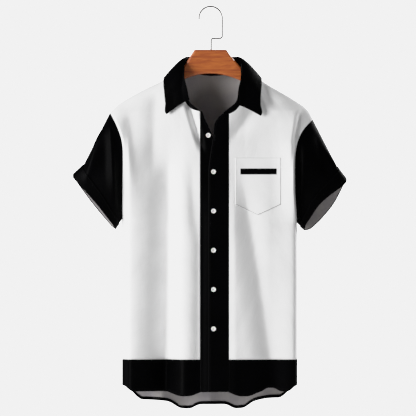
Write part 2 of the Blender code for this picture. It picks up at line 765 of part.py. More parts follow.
def add_wood(collection, cutters):
    body = bmesh.new()
    outline = [body.verts.new((x, -WOOD_THICKNESS / 2, z)) for x, z in hanger_outline()]
    face = body.faces.new(outline)
    pushed = bmesh.ops.extrude_face_region(body, geom=[face])
    moved = [item for item in pushed["geom"] if isinstance(item, bmesh.types.BMVert)]
    bmesh.ops.translate(body, verts=moved, vec=(0, WOOD_THICKNESS, 0))
    bmesh.ops.recalc_face_normals(body, faces=body.faces)
    mesh = bpy.data.meshes.new("hanger_wood")
    body.to_mesh(mesh)
    body.free()
    wood = add_object("hanger_wood", mesh, "beech", collection)
    bevel = wood.modifiers.new("rounded edges", "BEVEL")
    bevel.width = WOOD_BEVEL
    bevel.segments = 2
    bevel.limit_method = "ANGLE"
    bevel.angle_limit = math.radians(60)
    bpy.ops.mesh.primitive_cylinder_add(vertices=12, radius=WIRE_RADIUS + SEAM, depth=2 * BORE_DEPTH,
                                        location=(STEM_X, 0, WOOD_TOP_Z))
    cutter = bpy.context.object
    cutter.name = "stem_bore"
    for holder in list(cutter.users_collection):
        holder.objects.unlink(cutter)
    cutters.objects.link(cutter)
    cutter.hide_render = True
    cutter.display_type = "WIRE"
    cut = wood.modifiers.new("bore for the stem", "BOOLEAN")
    cut.operation = "DIFFERENCE"
    cut.object = cutter
    return wood


def hook_route():
    """The wire's middle line, from its tip over the bend and down into the wood."""
    middle_z = -(HOOK_RADIUS - WIRE_RADIUS)
    points = [Vector((-HOOK_RADIUS, 0, middle_z - HOOK_TIP_DROP))]
    for angle in np.linspace(math.pi, 0, ARC_POINTS):
        points.append(Vector((HOOK_RADIUS * math.cos(angle), 0, middle_z + HOOK_RADIUS * math.sin(angle))))
    points += [Vector((HOOK_RADIUS + step.x, 0, HOOK_JOG_Z + step.z)) for step in HOOK_BEND]
    points += [Vector((STEM_X + step.x, 0, HOOK_JOG_Z + step.z)) for step in STEM_BEND]
    points.append(Vector((STEM_X, 0, WOOD_TOP_Z - STEM_DEPTH)))
    return points


def add_hook(collection):
    curve = bpy.data.curves.new("hanger_hook", "CURVE")
    curve.dimensions = "3D"
    curve.bevel_depth = WIRE_RADIUS
    curve.bevel_resolution = 2
    curve.use_fill_caps = True
    line = curve.splines.new("POLY")
    route = hook_route()
    line.points.add(len(route) - 1)
    for point, place in zip(line.points, route):
        point.co = (*place, 1)
    return add_object("hanger_hook", curve, "bright wire", collection)


# ---------------------------------------------------------------- assembly

def main():
    clear_scene()
    parts = new_collection("shirt_on_hanger")
    cutters = new_collection("cutters")
    cutters.hide_render = True
    sheets = front_sheets() + back_sheets()
    sheets += [band_sheet(-1, "band_button"), band_sheet(1, "band_buttonhole")]
    sheets += sleeve_sheets(-1, "right") + sleeve_sheets(1, "left")
    sheets += collar_sheets()
    sew(sheets)
    made = {sheet.name: wall(sheet, parts) for sheet in sheets}

    panel = surface_of(made["front_left"])
    pocket = wall(patch("pocket", panel, POCKET, CLOTH, "white poplin"), parts)
    wall(patch("pocket_bar", surface_of(pocket), BAR, BAR_THICKNESS, "black poplin"), parts)

    add_button("button_1", surface_of(made["band_button"]), OPEN_BUTTON.x, OPEN_BUTTON.z, parts)
    band = surface_of(made["band_buttonhole"])
    for i in range(BUTTONS_DONE_UP):
        add_button(f"button_{i + 2}", band, BUTTON_X, BUTTON_TOP_Z - BUTTON_SPACING * i, parts)
    add_wood(parts, cutters)
    add_hook(parts)


main()
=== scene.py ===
import math
from collections import namedtuple

import bmesh
import bpy
import numpy as np
from mathutils import Matrix, Vector


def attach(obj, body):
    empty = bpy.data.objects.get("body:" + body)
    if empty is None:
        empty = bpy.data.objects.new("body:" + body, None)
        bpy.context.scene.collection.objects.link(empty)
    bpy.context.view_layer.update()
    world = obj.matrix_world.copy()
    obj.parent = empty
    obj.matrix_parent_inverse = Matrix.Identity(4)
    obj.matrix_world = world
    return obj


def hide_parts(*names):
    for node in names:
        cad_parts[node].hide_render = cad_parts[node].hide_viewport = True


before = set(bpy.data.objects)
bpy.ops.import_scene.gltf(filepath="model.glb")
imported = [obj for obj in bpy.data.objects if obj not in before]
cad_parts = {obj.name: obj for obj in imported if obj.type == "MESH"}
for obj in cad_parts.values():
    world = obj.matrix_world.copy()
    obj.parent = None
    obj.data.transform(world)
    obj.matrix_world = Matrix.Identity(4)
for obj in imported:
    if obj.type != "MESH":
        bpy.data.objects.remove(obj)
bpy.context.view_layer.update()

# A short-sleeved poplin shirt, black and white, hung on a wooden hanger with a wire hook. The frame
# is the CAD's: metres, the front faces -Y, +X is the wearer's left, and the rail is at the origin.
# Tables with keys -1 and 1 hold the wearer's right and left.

SCENE = bpy.context.scene

# ---------------------------------------------------------------- sizes

CLOTH = 0.0008
DOUBLED = 0.0013
# The pocket is pressed flat onto the front, so it is nearly as thin as real poplin.
PRESSED = 0.0004
LAP = 0.0026
LAP_STARTS_X = -0.110
LAP_FULL_X = -0.026
LAP_FULL_DEPTH = 0.030

DEPTH_FRONT = 0.062
DEPTH_BACK = 0.058
SHOULDER_NOSE = 0.012
ROUNDNESS = 3.2
ARMHOLE_FULLNESS = 0.8

# Creases die out over this share of the way in from a side, and towards the shoulder, where the
# cloth's form stands less than this off the plane of the hanger.
EDGE_SHARE = 0.022
SHOULDER_DEPTH = 0.036

NECK_X = 0.005
NECK_HALF = 0.080
NECK_Z = -0.153
NECK_ARCH = 0.060
NECK_SQUARENESS = 3.4
FRONT_DROP = {-1: 0.109, 1: 0.118}
BACK_DROP = 0.018

BAND_SEAM = {-1: -0.026, 1: 0.046}
# A band lies flat: its panel's creases die out from this far outside its seam to this far over it.
BAND_OUTSIDE = 0.012
BAND_OVER = 0.034
HEM_SEAM_Z = -0.881
HEM_SIDE_Z = -0.945
HEM_FRONT_DROP = 0.0145
HEM_BACK_DROP = 0.0370
HEM_FRONT_TURN = 0.12
HEM_BACK_TURN = 0.23
ARMPIT_SHARE = 0.43

# How finely the cloth is divided. Rows crowd towards the neck and shoulder by a power, and columns
# towards the side. The columns fan out from the neck's share of the top to its share of the seam
# below, within the share FAN of the way down, and later where they start on the shoulder.
PANEL_ROWS = 170
ROW_CROWDING = 1.8
SIDE_CROWDING = 1.5
FAN = 0.05
FAN_DELAY = 0.5
FAN_DELAY_SHARE = 0.3
NECK_SHARE = 0.42
NECK_POINTS = 400
NECK_COLUMNS = 44
SHOULDER_COLUMNS = 64
HEM_ROWS = 26
BAND_COLUMNS = 14
SLEEVE_ROWS = 64
SLEEVE_HALF_COLUMNS = 60
COLLAR_HALF_COLUMNS = 80

Edge = namedtuple("Edge", "x z")
SHOULDER = {
    -1: (Edge(-0.075, -0.153), Edge(-0.120, -0.184), Edge(-0.1645, -0.206), Edge(-0.2015, -0.226),
         Edge(-0.2315, -0.245), Edge(-0.2515, -0.264)),
    1: (Edge(0.085, -0.153), Edge(0.138, -0.191), Edge(0.1895, -0.221), Edge(0.216, -0.2375),
        Edge(0.236, -0.252), Edge(0.2495, -0.268), Edge(0.2555, -0.281)),
}
SIDE = {
    -1: (Edge(-0.2515, -0.264), Edge(-0.234, -0.299), Edge(-0.223, -0.331), Edge(-0.219, -0.369),
         Edge(-0.221, -0.534), Edge(-0.221, -0.945)),
    1: (Edge(0.2555, -0.281), Edge(0.2385, -0.299), Edge(0.228, -0.313), Edge(0.217, -0.339),
        Edge(0.212, -0.364), Edge(0.2105, -0.441), Edge(0.2155, -0.534), Edge(0.217, -0.945)),
}
FREE_EDGE = {
    -1: (Edge(-0.021, -0.261), Edge(-0.014, -0.281), Edge(-0.002, -0.306), Edge(0.006, -0.326),
         Edge(0.015, -0.369), Edge(0.019, -0.411), Edge(0.019, -0.960)),
    1: (Edge(0.031, -0.266), Edge(0.021, -0.275), Edge(0.011, -0.289), Edge(0.006, -0.325),
        Edge(-0.001, -0.369), Edge(-0.00575, -0.411), Edge(-0.00575, -0.960)),
}

# A crease runs from (x_top, z_top) to (x_low, z_low), bowed sideways in its middle. Its two flanks
# reach as far as left and right, and meet in a bend about as wide as soft. A negative rise is a
# trough. It grows over head, a share of its length, and loses the share foot of its depth from
# FOOT_STARTS to its lower end.
FOOT_STARTS = 0.6
Crease = namedtuple("Crease", "x_top z_top x_low z_low left right soft rise bow head foot")
FRONT_CREASES = (
    # the wearer's right front: the long trough, the ridges beside it, and the Y that runs into it
    Crease(-0.1030, -0.215, -0.1135, -1.000, 0.098, 0.060, 0.012, -0.0285, 0.000, 0.42, 0.0),
    Crease(-0.1050, -0.350, -0.1135, -1.000, 0.050, 0.020, 0.006, -0.0120, 0.000, 0.25, 0.0),
    Crease(-0.1060, -0.420, -0.1135, -1.000, 0.110, 0.050, 0.010, -0.0105, 0.000, 0.70, 0.0),
    Crease(-0.0720, -0.300, -0.0700, -1.000, 0.030, 0.060, 0.006, 0.0070, 0.000, 0.35, 0.0),
    Crease(-0.2040, -0.300, -0.2020, -1.000, 0.013, 0.078, 0.005, 0.0160, 0.000, 0.20, 0.0),
    Crease(-0.2480, -0.235, -0.2060, -0.430, 0.012, 0.090, 0.006, 0.0125, -0.004, 0.15, 1.0),
    Crease(-0.0160, -0.370, -0.0215, -1.000, 0.054, 0.055, 0.007, -0.0085, 0.000, 0.30, 0.0),
    Crease(-0.2060, -0.240, -0.1760, -0.460, 0.028, 0.050, 0.011, -0.0058, 0.000, 0.22, 1.0),
    Crease(-0.1370, -0.200, -0.1460, -0.440, 0.038, 0.044, 0.009, -0.0080, 0.000, 0.14, 1.0),
    Crease(-0.0580, -0.232, -0.0130, -0.380, 0.015, 0.014, 0.003, -0.0150, 0.000, 0.10, 1.0),
    Crease(-0.0480, -0.370, -0.0400, -0.600, 0.024, 0.022, 0.008, -0.0045, 0.000, 0.30, 1.0),
    # the wearer's left front: shade beside the collar, the armhole, the slanting trough and the side
    Crease(0.1300, -0.225, 0.0400, -0.352, 0.042, 0.060, 0.010, -0.0105, 0.000, 0.35, 1.0),
    Crease(0.1300, -0.176, 0.1640, -0.262, 0.022, 0.050, 0.007, -0.0105, 0.000, 0.25, 1.0),
    Crease(0.2240, -0.235, 0.1960, -0.400, 0.085, 0.014, 0.005, 0.0130, -0.004, 0.15, 0.8),
    Crease(0.2230, -0.258, 0.2060, -0.362, 0.010, 0.010, 0.002, -0.0080, 0.000, 0.20, 1.0),
    Crease(0.0640, -0.345, 0.1600, -1.000, 0.050, 0.060, 0.010, -0.0130, 0.008, 0.36, 0.0),
    Crease(0.2125, -0.310, 0.2135, -1.000, 0.059, 0.010, 0.003, 0.0270, 0.000, 0.16, 0.0),
    Crease(0.0600, -0.400, 0.0620, -1.000, 0.024, 0.034, 0.004, 0.0024, 0.000, 0.20, 0.0),
)
BACK_CREASES = (
    Crease(-0.1000, -0.290, -0.1230, -1.000, 0.036, 0.070, 0.006, -0.0200, 0.008, 0.40, 0.1),
    Crease(0.0060, -0.320, -0.0020, -1.000, 0.062, 0.034, 0.006, -0.0150, 0.006, 0.45, 0.1),
    Crease(0.1080, -0.300, 0.1350, -1.000, 0.066, 0.040, 0.006, -0.0190, -0.007, 0.40, 0.1),
    Crease(-0.2040, -0.400, -0.2030, -1.000, 0.014, 0.044, 0.004, 0.0090, 0.000, 0.30, 0.1),
    Crease(0.2000, -0.420, 0.2010, -1.000, 0.046, 0.014, 0.004, 0.0090, 0.000, 0.30, 0.1),
    Crease(-0.2240, -0.262, -0.1500, -0.450, 0.024, 0.016, 0.003, -0.0050, 0.004, 0.15, 1.0),
    Crease(0.2280, -0.275, 0.1560, -0.420, 0.016, 0.022, 0.003, -0.0045, -0.004, 0.15, 1.0),
    Crease(-0.0700, -0.205, -0.1020, -0.350, 0.020, 0.014, 0.003, -0.0035, 0.000, 0.20, 1.0),
    Crease(0.0800, -0.200, 0.1160, -0.360, 0.014, 0.022, 0.003, -0.0035, 0.000, 0.20, 1.0),
)
# Creases of the sleeves, seen from the front or from behind, pushed out of the tube.
SLEEVE_CREASES = {
    -1: (
        Crease(-0.2480, -0.262, -0.2380, -0.530, 0.020, 0.014, 0.002, 0.0080, -0.002, 0.15, 1.0),
        Crease(-0.2600, -0.275, -0.3160, -0.450, 0.016, 0.038, 0.003, 0.0090, 0.000, 0.40, 1.0),
        Crease(-0.2280, -0.380, -0.2320, -0.540, 0.012, 0.014, 0.002, -0.0026, 0.000, 0.30, 1.0),
    ),
    1: (
        Crease(0.2330, -0.320, 0.2200, -0.545, 0.012, 0.030, 0.002, 0.0040, 0.004, 0.20, 1.0),
        Crease(0.2620, -0.300, 0.2900, -0.430, 0.026, 0.030, 0.004, -0.0040, 0.000, 0.25, 1.0),
        Crease(0.2960, -0.340, 0.3160, -0.425, 0.020, 0.026, 0.004, 0.0040, 0.000, 0.30, 1.0),
    ),
}

# Flat-bottomed dips of the hem.
Dip = namedtuple("Dip", "x width drop")
FRONT_DIPS = (Dip(-0.065, 0.034, 0.0120), Dip(0.083, 0.031, 0.0120), Dip(0.150, 0.018, -0.0090))
BACK_DIPS = (Dip(0.004, 0.108, 0.0120), Dip(-0.066, 0.029, 0.0135), Dip(0.073, 0.026, 0.0130),
             Dip(0.155, 0.040, -0.0050))

Section = namedtuple("Section", "outer_x outer_z inner_x inner_z half_depth tilt")
SLEEVE = {
    -1: (Section(-0.3225, -0.398, -0.230, -0.541, 0.039, 0.004),
         Section(-0.3460, -0.4205, -0.238, -0.553, 0.035, 0.004)),
    1: (Section(0.3215, -0.403, 0.2255, -0.548, 0.039, 0.013),
        Section(0.3420, -0.431, 0.2345, -0.556, 0.035, 0.014)),
}
SLEEVE_BULGE = 0.006
SLEEVE_FLATNESS = 0.5
# How the mouth of a sleeve gapes, from its fold down to the armpit: the front edge lifts and the back
# edge hangs by these shares of the tilt.
Gape = namedtuple("Gape", "down front back")
GAPE = (Gape(0, 0, 0), Gape(0.10, 0.03, 0.05), Gape(0.22, 0.32, 0.42), Gape(0.40, 0.78, 0.86),
        Gape(0.58, 1.0, 1.0), Gape(0.80, 0.70, 0.88), Gape(0.95, 0.40, 0.52), Gape(1, 0, 0))
# A sleeve's fold along the top is rounded off within a share of the way down.
FOLD_ROUND = 0.006
FOLD_REACH = 0.05
# A sleeve's creases die out at the armhole, towards the cuff, and where the tube turns edge-on.
ARMHOLE_FADE = 0.15
CUFF_FADE = 1.2
EDGE_ON_FADE = 1.5
CUFF_STAND_OFF = 0.0018
CUFF_LIP = 0.0012

# Edges turned inside: the radius of the bend and the width of the flap.
Turn = namedtuple("Turn", "radius flap")
HEM_TURN = Turn(0.0008, 0.007)
CUFF_FOOT = Turn(0.0009, 0.0010)
CUFF_HEAD = Turn(0.0005, 0.002)

Collar = namedtuple("Collar", "along fold_x fold_y fold_z edge_x edge_y edge_z")
COLLAR = (
    Collar(0.000, 0.033, -0.047, -0.259, 0.085, -0.046, -0.275),
    Collar(0.061, 0.050, -0.046, -0.246, 0.100, -0.045, -0.271),
    Collar(0.122, 0.059, -0.045, -0.236, 0.117, -0.043, -0.268),
    Collar(0.300, 0.0645, -0.038, -0.206, 0.119, -0.038, -0.240),
    Collar(0.450, 0.071, -0.027, -0.170, 0.121, -0.032, -0.213),
    Collar(0.549, 0.070, -0.012, -0.144, 0.123, -0.014, -0.188),
    Collar(0.610, 0.068, 0.000, -0.131, 0.123, 0.000, -0.177),
    Collar(0.800, 0.050, 0.026, -0.126, 0.100, 0.034, -0.188),
    Collar(1.000, 0.000, 0.034, -0.125, 0.000, 0.047, -0.184),
)
SIDE_PLACE = 0.61
NOTCH_ALONG = 0.122
# The leaf bulges as it rolls over, the nearer its head the lower ROLL_POWER is. Its rows crowd
# towards the head, and its front corners are moved over the share FRONT_REACH of its length.
LEAF_ROLL = 0.0055
ROLL_POWER = 0.6
LEAF_ROWS = 26
LEAF_CROWDING = 1.6
FRONT_REACH = 0.3
# The two leaves don't hang alike: how far the notch and the tip of each lie off the table's.
Corner = namedtuple("Corner", "notch_x notch_z tip_x tip_z")
CORNER = {-1: Corner(0.002, 0.002, 0.002, 0.0), 1: Corner(0.0055, -0.012, 0.003, -0.004)}
LEAF_OVER_STAND = 0.0022
LEAF_CLEARANCE = 0.0042
STAND_ROWS = 9
STAND_FRONT_COLUMNS = 52
STAND_BACK_COLUMNS = 30
STAND_END_COLUMNS = 6
# The foot and head of the stand's end on the wearer's left, on top of the buttonhole band.
STAND_END = ((0.0300, -0.0590, -0.2725), (0.0325, -0.0560, -0.2635))

Patch = namedtuple("Patch", "left right top side point")
POCKET = Patch(0.0615, 0.1755, -0.377, -0.4935, -0.5200)
BAR = Patch(0.0745, 0.1645, -0.404, -0.4185, -0.4185)
POCKET_LIFT = 0.0007
BAR_LIFT = 0.0014

# The open button lies on the lower band, by its hole in the top one. Each was sewn on at its own turn.
BUTTON_RADIUS = 0.0060
BUTTON_THICKNESS = 0.0024
BUTTON_LIFT = 0.0003
BUTTON_HOLE = 0.00075
BUTTON_HOLE_OUT = 0.00155
BUTTON_X = 0.0075
BUTTON_TOP_Z = -0.412
BUTTON_SPACING = 0.098
BUTTON_TURNS = (5, -12, 30, 8, -25)
OPEN_BUTTON = Edge(-0.0055, -0.321)
OPEN_BUTTON_TURN = 20
OPEN_BUTTONHOLE = Edge(0.0105, -0.327)
BUTTONHOLE_LENGTH = 0.0150
BUTTONHOLE_WIDTH = 0.0030
BUTTONHOLE_SLIT = 0.15
ZIGZAG_PITCH = 0.00055
BAR_TACK = 0.0016

WIRE_RADIUS = 0.0022
WIRE_BEND = 0.0065
HOOK_RADIUS = 0.029
HOOK_TIP = 0.004
HOOK_LOW_Z = -0.0775
STEM_X = 0.0012
STEM_TOP_Z = -0.0780
STEM_LOW_Z = -0.1260


# ---------------------------------------------------------------- curves and the body's form

def smooth(at, xs, ys):
    """A smooth curve through the points, level where it turns, read at many places."""
    xs, ys = np.asarray(xs, float), np.asarray(ys, float)
    if xs[0] > xs[-1]:
        xs, ys = xs[::-1], ys[::-1]
    at = np.clip(at, xs[0], xs[-1])
    rises = np.diff(ys) / np.diff(xs)
    slopes = np.concatenate([rises[:1], (rises[1:] + rises[:-1]) / 2, rises[-1:]])
    slopes[np.concatenate([[False], rises[1:] * rises[:-1] <= 0, [False]])] = 0
    i = np.clip(np.searchsorted(xs, at, side="right") - 1, 0, len(xs) - 2)
    span = xs[i + 1] - xs[i]
    t = (at - xs[i]) / span
    return ((1 + 2 * t) * (1 - t) ** 2 * ys[i] + t * (1 - t) ** 2 * span * slopes[i]
            + t * t * (3 - 2 * t) * ys[i + 1] + t * t * (t - 1) * span * slopes[i + 1])


def steps(count):
    """Shares from 0 to 1 in equal steps."""
    return np.linspace(0, 1, count + 1)


def ease(t):
    t = np.clip(t, 0, 1)
    return t * t * (3 - 2 * t)


def unit(vectors):
    return vectors / np.maximum(np.linalg.norm(vectors, axis=-1, keepdims=True), 1e-12)


def run_along(points):
    """How far each row of points is along the cloth from the first."""
    lengths = np.linalg.norm(np.diff(points, axis=0), axis=-1)
    return np.concatenate([np.zeros_like(lengths[:1]), np.cumsum(lengths, axis=0)])


def read_at(wanted, run, values):
    """Rows of values, read at the wanted lengths along a line."""
    return np.stack([np.interp(wanted, run, column) for column in values.T], axis=-1)


def resample(points, count):
    """The points of a curve, moved to equal steps along it."""
    run = run_along(points)
    return read_at(np.linspace(0, run[-1], count + 1), run, points)


def side_x(side, z):
    rows = SIDE[side]
    return smooth(z, [row.z for row in rows], [row.x for row in rows])


def shoulder_z(x):
    """The top of the cloth's form: the shoulder line, and an arch over the open neck."""
    across = (x - NECK_X) / NECK_HALF
    arch = NECK_Z + NECK_ARCH * (1 - across ** 2)
    lines = [smooth(x, [row.x for row in SHOULDER[side]], [row.z for row in SHOULDER[side]])
             for side in (-1, 1)]
    return np.where(abs(across) < 1, arch, np.where(x < NECK_X, *lines))


def crease_rise(x, z, table):
    """How far the creases lift the cloth at (x, z): two bowl-shaped flanks each, met in a bend."""
    total = np.zeros(np.broadcast(x, z).shape)
    for crease in table:
        along = (crease.z_top - z) / (crease.z_top - crease.z_low)
        bow = crease.bow * 4 * along * (1 - along)
        off = x - crease.x_top - (crease.x_low - crease.x_top) * along - bow
        reach = np.where(off < 0, crease.left, crease.right)
        away = np.sqrt(off ** 2 + crease.soft ** 2) - crease.soft
        flank = np.clip(1 - away / reach, 0, 1) ** 2
        lost = crease.foot * ease((along - FOOT_STARTS) / (1 - FOOT_STARTS))
        fade = ease(along / crease.head) * (1 - lost)
        total += np.where((along > 0) & (along < 1), crease.rise * fade * flank, 0)
    return total


def form_depth(x, z, front, grown=0):
    """How far the cloth's form stands off the plane of the hanger, before its folds."""
    depth = (DEPTH_FRONT if front else DEPTH_BACK) + grown
    below = np.maximum(shoulder_z(x) + grown - z, 0)
    return depth * np.sqrt(1 - np.exp(-2 * (SHOULDER_NOSE + grown) * below / depth ** 2))


def body_points(x, z, front, side):
    """Points on the body's middle surface, in front of the hanger's plane for the front and behind it for
    the back.
    """
    across = np.clip(abs((x - NECK_X) / (side_x(side, z) - NECK_X)), 0, 1)
    top = SIDE[side][0].z
    low = top + (HEM_SEAM_Z - top) * ARMPIT_SHARE
    down = np.clip((top - z) / (top - low), 0, 1)
    open_edge = (1 - down ** 2) ** ARMHOLE_FULLNESS
    inside = np.sqrt(1 - across ** ROUNDNESS)
    depth = form_depth(x, z, front) * (open_edge + (1 - open_edge) * inside)
    flat_band = 1
    if front:
        outside = (x - BAND_SEAM[side]) * side
        flat_band = ease((outside + BAND_OVER) / (BAND_OVER + BAND_OUTSIDE))
    table = FRONT_CREASES if front else BACK_CREASES
    near_edge = ease((1 - across) / EDGE_SHARE) * ease(form_depth(x, z, front) / SHOULDER_DEPTH)
    depth = depth + crease_rise(x, z, table) * flat_band * near_edge
    if front and side < 0:
        under = ease((x - LAP_STARTS_X) / (LAP_FULL_X - LAP_STARTS_X))
        depth = depth - LAP * under * ease(depth / LAP_FULL_DEPTH)
    return np.stack(np.broadcast_arrays(x, -depth if front else depth, z), axis=-1)


def front_neck(side, count):
    start = abs(BAND_SEAM[side] - NECK_X) / NECK_HALF
    across = 1 - (1 - start) * np.linspace(1, 0, NECK_POINTS) ** 3
    drop = FRONT_DROP[side] * (1 - across ** NECK_SQUARENESS) ** (1 / NECK_SQUARENESS)
    return resample(np.stack([NECK_X + side * NECK_HALF * across, NECK_Z - drop], axis=1), count)


def back_neck(side, count):
    across = np.sin(np.linspace(0, math.pi / 2, count + 1))
    return np.stack([NECK_X + side * NECK_HALF * across, NECK_Z - BACK_DROP * (1 - across ** 2)], axis=1)


def shoulder(side):
    xs = np.linspace(SHOULDER[side][0].x, SHOULDER[side][-1].x, SHOULDER_COLUMNS + 1)[1:]
    return np.stack([xs, shoulder_z(xs)], axis=1)


def hem_z(x, side, front):
    across = np.clip(abs((x - NECK_X) / (side_x(side, HEM_SEAM_Z) - NECK_X)), 0, 1)
    turn, drop = (HEM_FRONT_TURN, HEM_FRONT_DROP) if front else (HEM_BACK_TURN, HEM_BACK_DROP)
    lower = ease((1 - across) / turn)
    z = HEM_SIDE_Z - drop * lower
    for dip in FRONT_DIPS if front else BACK_DIPS:
        z = z - dip.drop * np.exp(-abs((x - dip.x) / dip.width) ** 3) * lower
    return z


def low_shares():
    """Where a panel's columns meet the hem band, as shares of the way out to the side."""
    neck = NECK_SHARE * steps(NECK_COLUMNS)
    out = 1 - (1 - NECK_SHARE) * np.linspace(1, 0, SHOULDER_COLUMNS + 1)[1:] ** SIDE_CROWDING
    return np.concatenate([neck, out])


def half_panel(side, top, inner_x, front):
    """Rows of points for half of the body, from its inner edge out to the sleeve and side."""
    low = low_shares()
    high = (top[:, 0] - inner_x) / (top[-1, 0] - inner_x)
    late = (np.arange(len(top)) - NECK_COLUMNS) / (FAN_DELAY_SHARE * SHOULDER_COLUMNS)
    delay = 1 + FAN_DELAY * ease(late)
    v = (steps(PANEL_ROWS) ** ROW_CROWDING)[:, None]
    z = top[:, 1] + (HEM_SEAM_Z - top[:, 1]) * v
    share = low + (high - low) * np.exp(-(v / FAN) ** delay)
    x = inner_x + (side_x(side, z) - inner_x) * share
    return body_points(x, z, front, side)


def half_hem(side, inner_x, front):
    x_seam = inner_x + (side_x(side, HEM_SEAM_Z) - inner_x) * low_shares()
    v = steps(HEM_ROWS)[:, None]
    z = HEM_SEAM_Z + (hem_z(x_seam, side, front) - HEM_SEAM_Z) * v
    x = inner_x + (side_x(side, z) - inner_x) * low_shares()
    return body_points(x, z, front, side)


def both_halves(right, left):
    return np.concatenate([right[:, ::-1], left[:, 1:]], axis=1)


# ---------------------------------------------------------------- sheets of cloth

class Sheet:
    """Rows of points on a cloth's middle surface, and the way it faces at each."""

    def __init__(self, points, ring=False, turned=False):
        self.points = np.asarray(points, float)
        self.ring = ring
        self.turned = turned
        along = np.gradient(self.points, axis=0)
        if ring:
            across = np.roll(self.points, -1, axis=1) - np.roll(self.points, 1, axis=1)
        else:
            across = np.gradient(self.points, axis=1)
        self.normals = unit(np.cross(across, along) * (-1 if turned else 1))

    def lifted(self, height):
        return self.points + self.normals * height

    def pushed(self, rise):
        return Sheet(self.points + self.normals * rise[:, :, None], self.ring, self.turned)

    def hemmed(self, turn, head=False):
        """The sheet with its low edge, or its head, turned inside round a small bend."""
        points, normals = self.points, self.normals
        if head:
            points, normals = points[::-1], normals[::-1]
        way = unit(points[-1] - points[-2])
        rows = [points[-1] + (way * math.sin(a) - normals[-1] * (1 - math.cos(a))) * turn.radius
                for a in np.linspace(0, math.pi, 7)[1:]]
        rows += [rows[-1] - way * turn.flap * share for share in (0.25, 0.5, 0.75, 1)]
        grown = np.concatenate([points, np.array(rows)])
        return Sheet(grown[::-1] if head else grown, self.ring, self.turned)

    def inset(self, edge, distance):
        """(points, normals) of a line on the sheet at a distance in from one of its edges."""
        points, normals = self.points, self.normals
        if edge in ("first", "last"):
            points, normals = points.swapaxes(0, 1), normals.swapaxes(0, 1)
        if edge in ("low", "last"):
            points, normals = points[::-1], normals[::-1]
        run = run_along(points)
        return tuple(np.array([read_at(distance, run[:, k], rows[:, k]) for k in range(run.shape[1])])
                     for rows in (points, normals))

    def flat_size(self):
        """Width, length and area of the cloth as cut: the widest row, the longest column."""
        points = self.points
        if self.ring:
            points = np.concatenate([points, points[:, :1]], axis=1)
        down = run_along(points)[-1].max()
        over = run_along(points.swapaxes(0, 1))[-1].max()
        one = np.cross(points[1:, :-1] - points[:-1, :-1], points[:-1, 1:] - points[:-1, :-1])
        two = np.cross(points[1:, :-1] - points[1:, 1:], points[:-1, 1:] - points[1:, 1:])
        area = (np.linalg.norm(one, axis=2) + np.linalg.norm(two, axis=2)).sum() / 2
        return float(over), float(down), float(area)

    def measured(self):
        """Each point's place on the flat cloth in metres, for the weave to follow."""
        over = run_along(self.points.swapaxes(0, 1)).T
        return np.stack([over - over[:, over.shape[1] // 2][:, None], -run_along(self.points)], axis=-1)

    def mesh(self, name):
        rows, columns = self.points.shape[:2]
        places = self.measured()
        seam = np.linalg.norm(self.points[:, 0] - self.points[:, -1], axis=1)
        faces, spots = [], []
        for j in range(columns if self.ring else columns - 1):
            k = (j + 1) % columns
            for i in range(rows - 1):
                corners = [(i, j), (i, k), (i + 1, k), (i + 1, j)]
                if self.turned:
                    corners.reverse()
                faces.append([a * columns + b for a, b in corners])
                for a, b in corners:
                    spot = places[a, b]
                    if self.ring and k == 0 and b == 0:
                        spot = places[a, columns - 1] + (seam[a], 0)
                    spots.append(spot)
        mesh = bpy.data.meshes.new(name)
        mesh.from_pydata(self.points.reshape(-1, 3).tolist(), [], faces)
        layer = mesh.uv_layers.new(name="cloth")
        layer.data.foreach_set("uv", np.array(spots, np.float32).ravel())
        mesh.shade_smooth()
        return mesh


def new_object(name, data):
    made = bpy.data.objects.new(name, data)
    SCENE.collection.objects.link(made)
    return made


def solid_object(name, shape):
    mesh = bpy.data.meshes.new(name)
    shape.to_mesh(mesh)
    shape.free()
    return new_object(name, mesh)


def cloth_piece(node, sheet, thickness, outside, inside):
    """The sheet as a thin shell, woven the same way on both faces, in place of its CAD node."""
    name = f"{node}_cloth"
    piece = new_object(name, sheet.mesh(name))
    piece.data.materials.append(outside)
    piece.data.materials.append(inside)
    shell = piece.modifiers.new("thickness", "SOLIDIFY")
    shell.thickness = thickness
    shell.offset = 0
    shell.material_offset = 1
    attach(piece, "root")
    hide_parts(node)
    width, length, area = sheet.flat_size()


# ---------------------------------------------------------------- materials

def linear(colour):
    """An sRGB hex colour as linear RGBA."""
    parts = [int(colour[i:i + 2], 16) / 255 for i in (1, 3, 5)]
    return (*(c / 12.92 if c <= 0.04045 else ((c + 0.055) / 1.055) ** 2.4 for c in parts), 1)


def add(tree, kind, inputs=None, stops=(), **settings):
    """One shader node: its inputs as values or as links from other sockets, the stops of its colour
    ramp and its settings."""
    node = tree.nodes.new("ShaderNode" + kind)
    for key, value in settings.items():
        setattr(node, key, value)
    for i, (place, colour) in enumerate(stops):
        elements = node.color_ramp.elements
        if i == len(elements):
            elements.new(place)
        elements[i].position = place
        elements[i].color = linear(colour)
    for key, value in (inputs or {}).items():
        if isinstance(value, bpy.types.NodeSocket):
            tree.links.new(value, node.inputs[key])
        else:
            node.inputs[key].default_value = value
    return node


def new_material(name, **shader_values):
    made = bpy.data.materials.new(name)
    made.use_nodes = True
    tree = made.node_tree
    shader = tree.nodes["Principled BSDF"]
    for key, value in shader_values.items():
        shader.inputs[key.replace("_", " ")].default_value = value
    return made, tree, shader


def colour_by(tree, shader, value, stops):
    """Colour the shader by a ramp over a value."""
    ramp = add(tree, "ValToRGB", {"Fac": value}, stops)
    tree.links.new(ramp.outputs["Color"], shader.inputs["Base Color"])


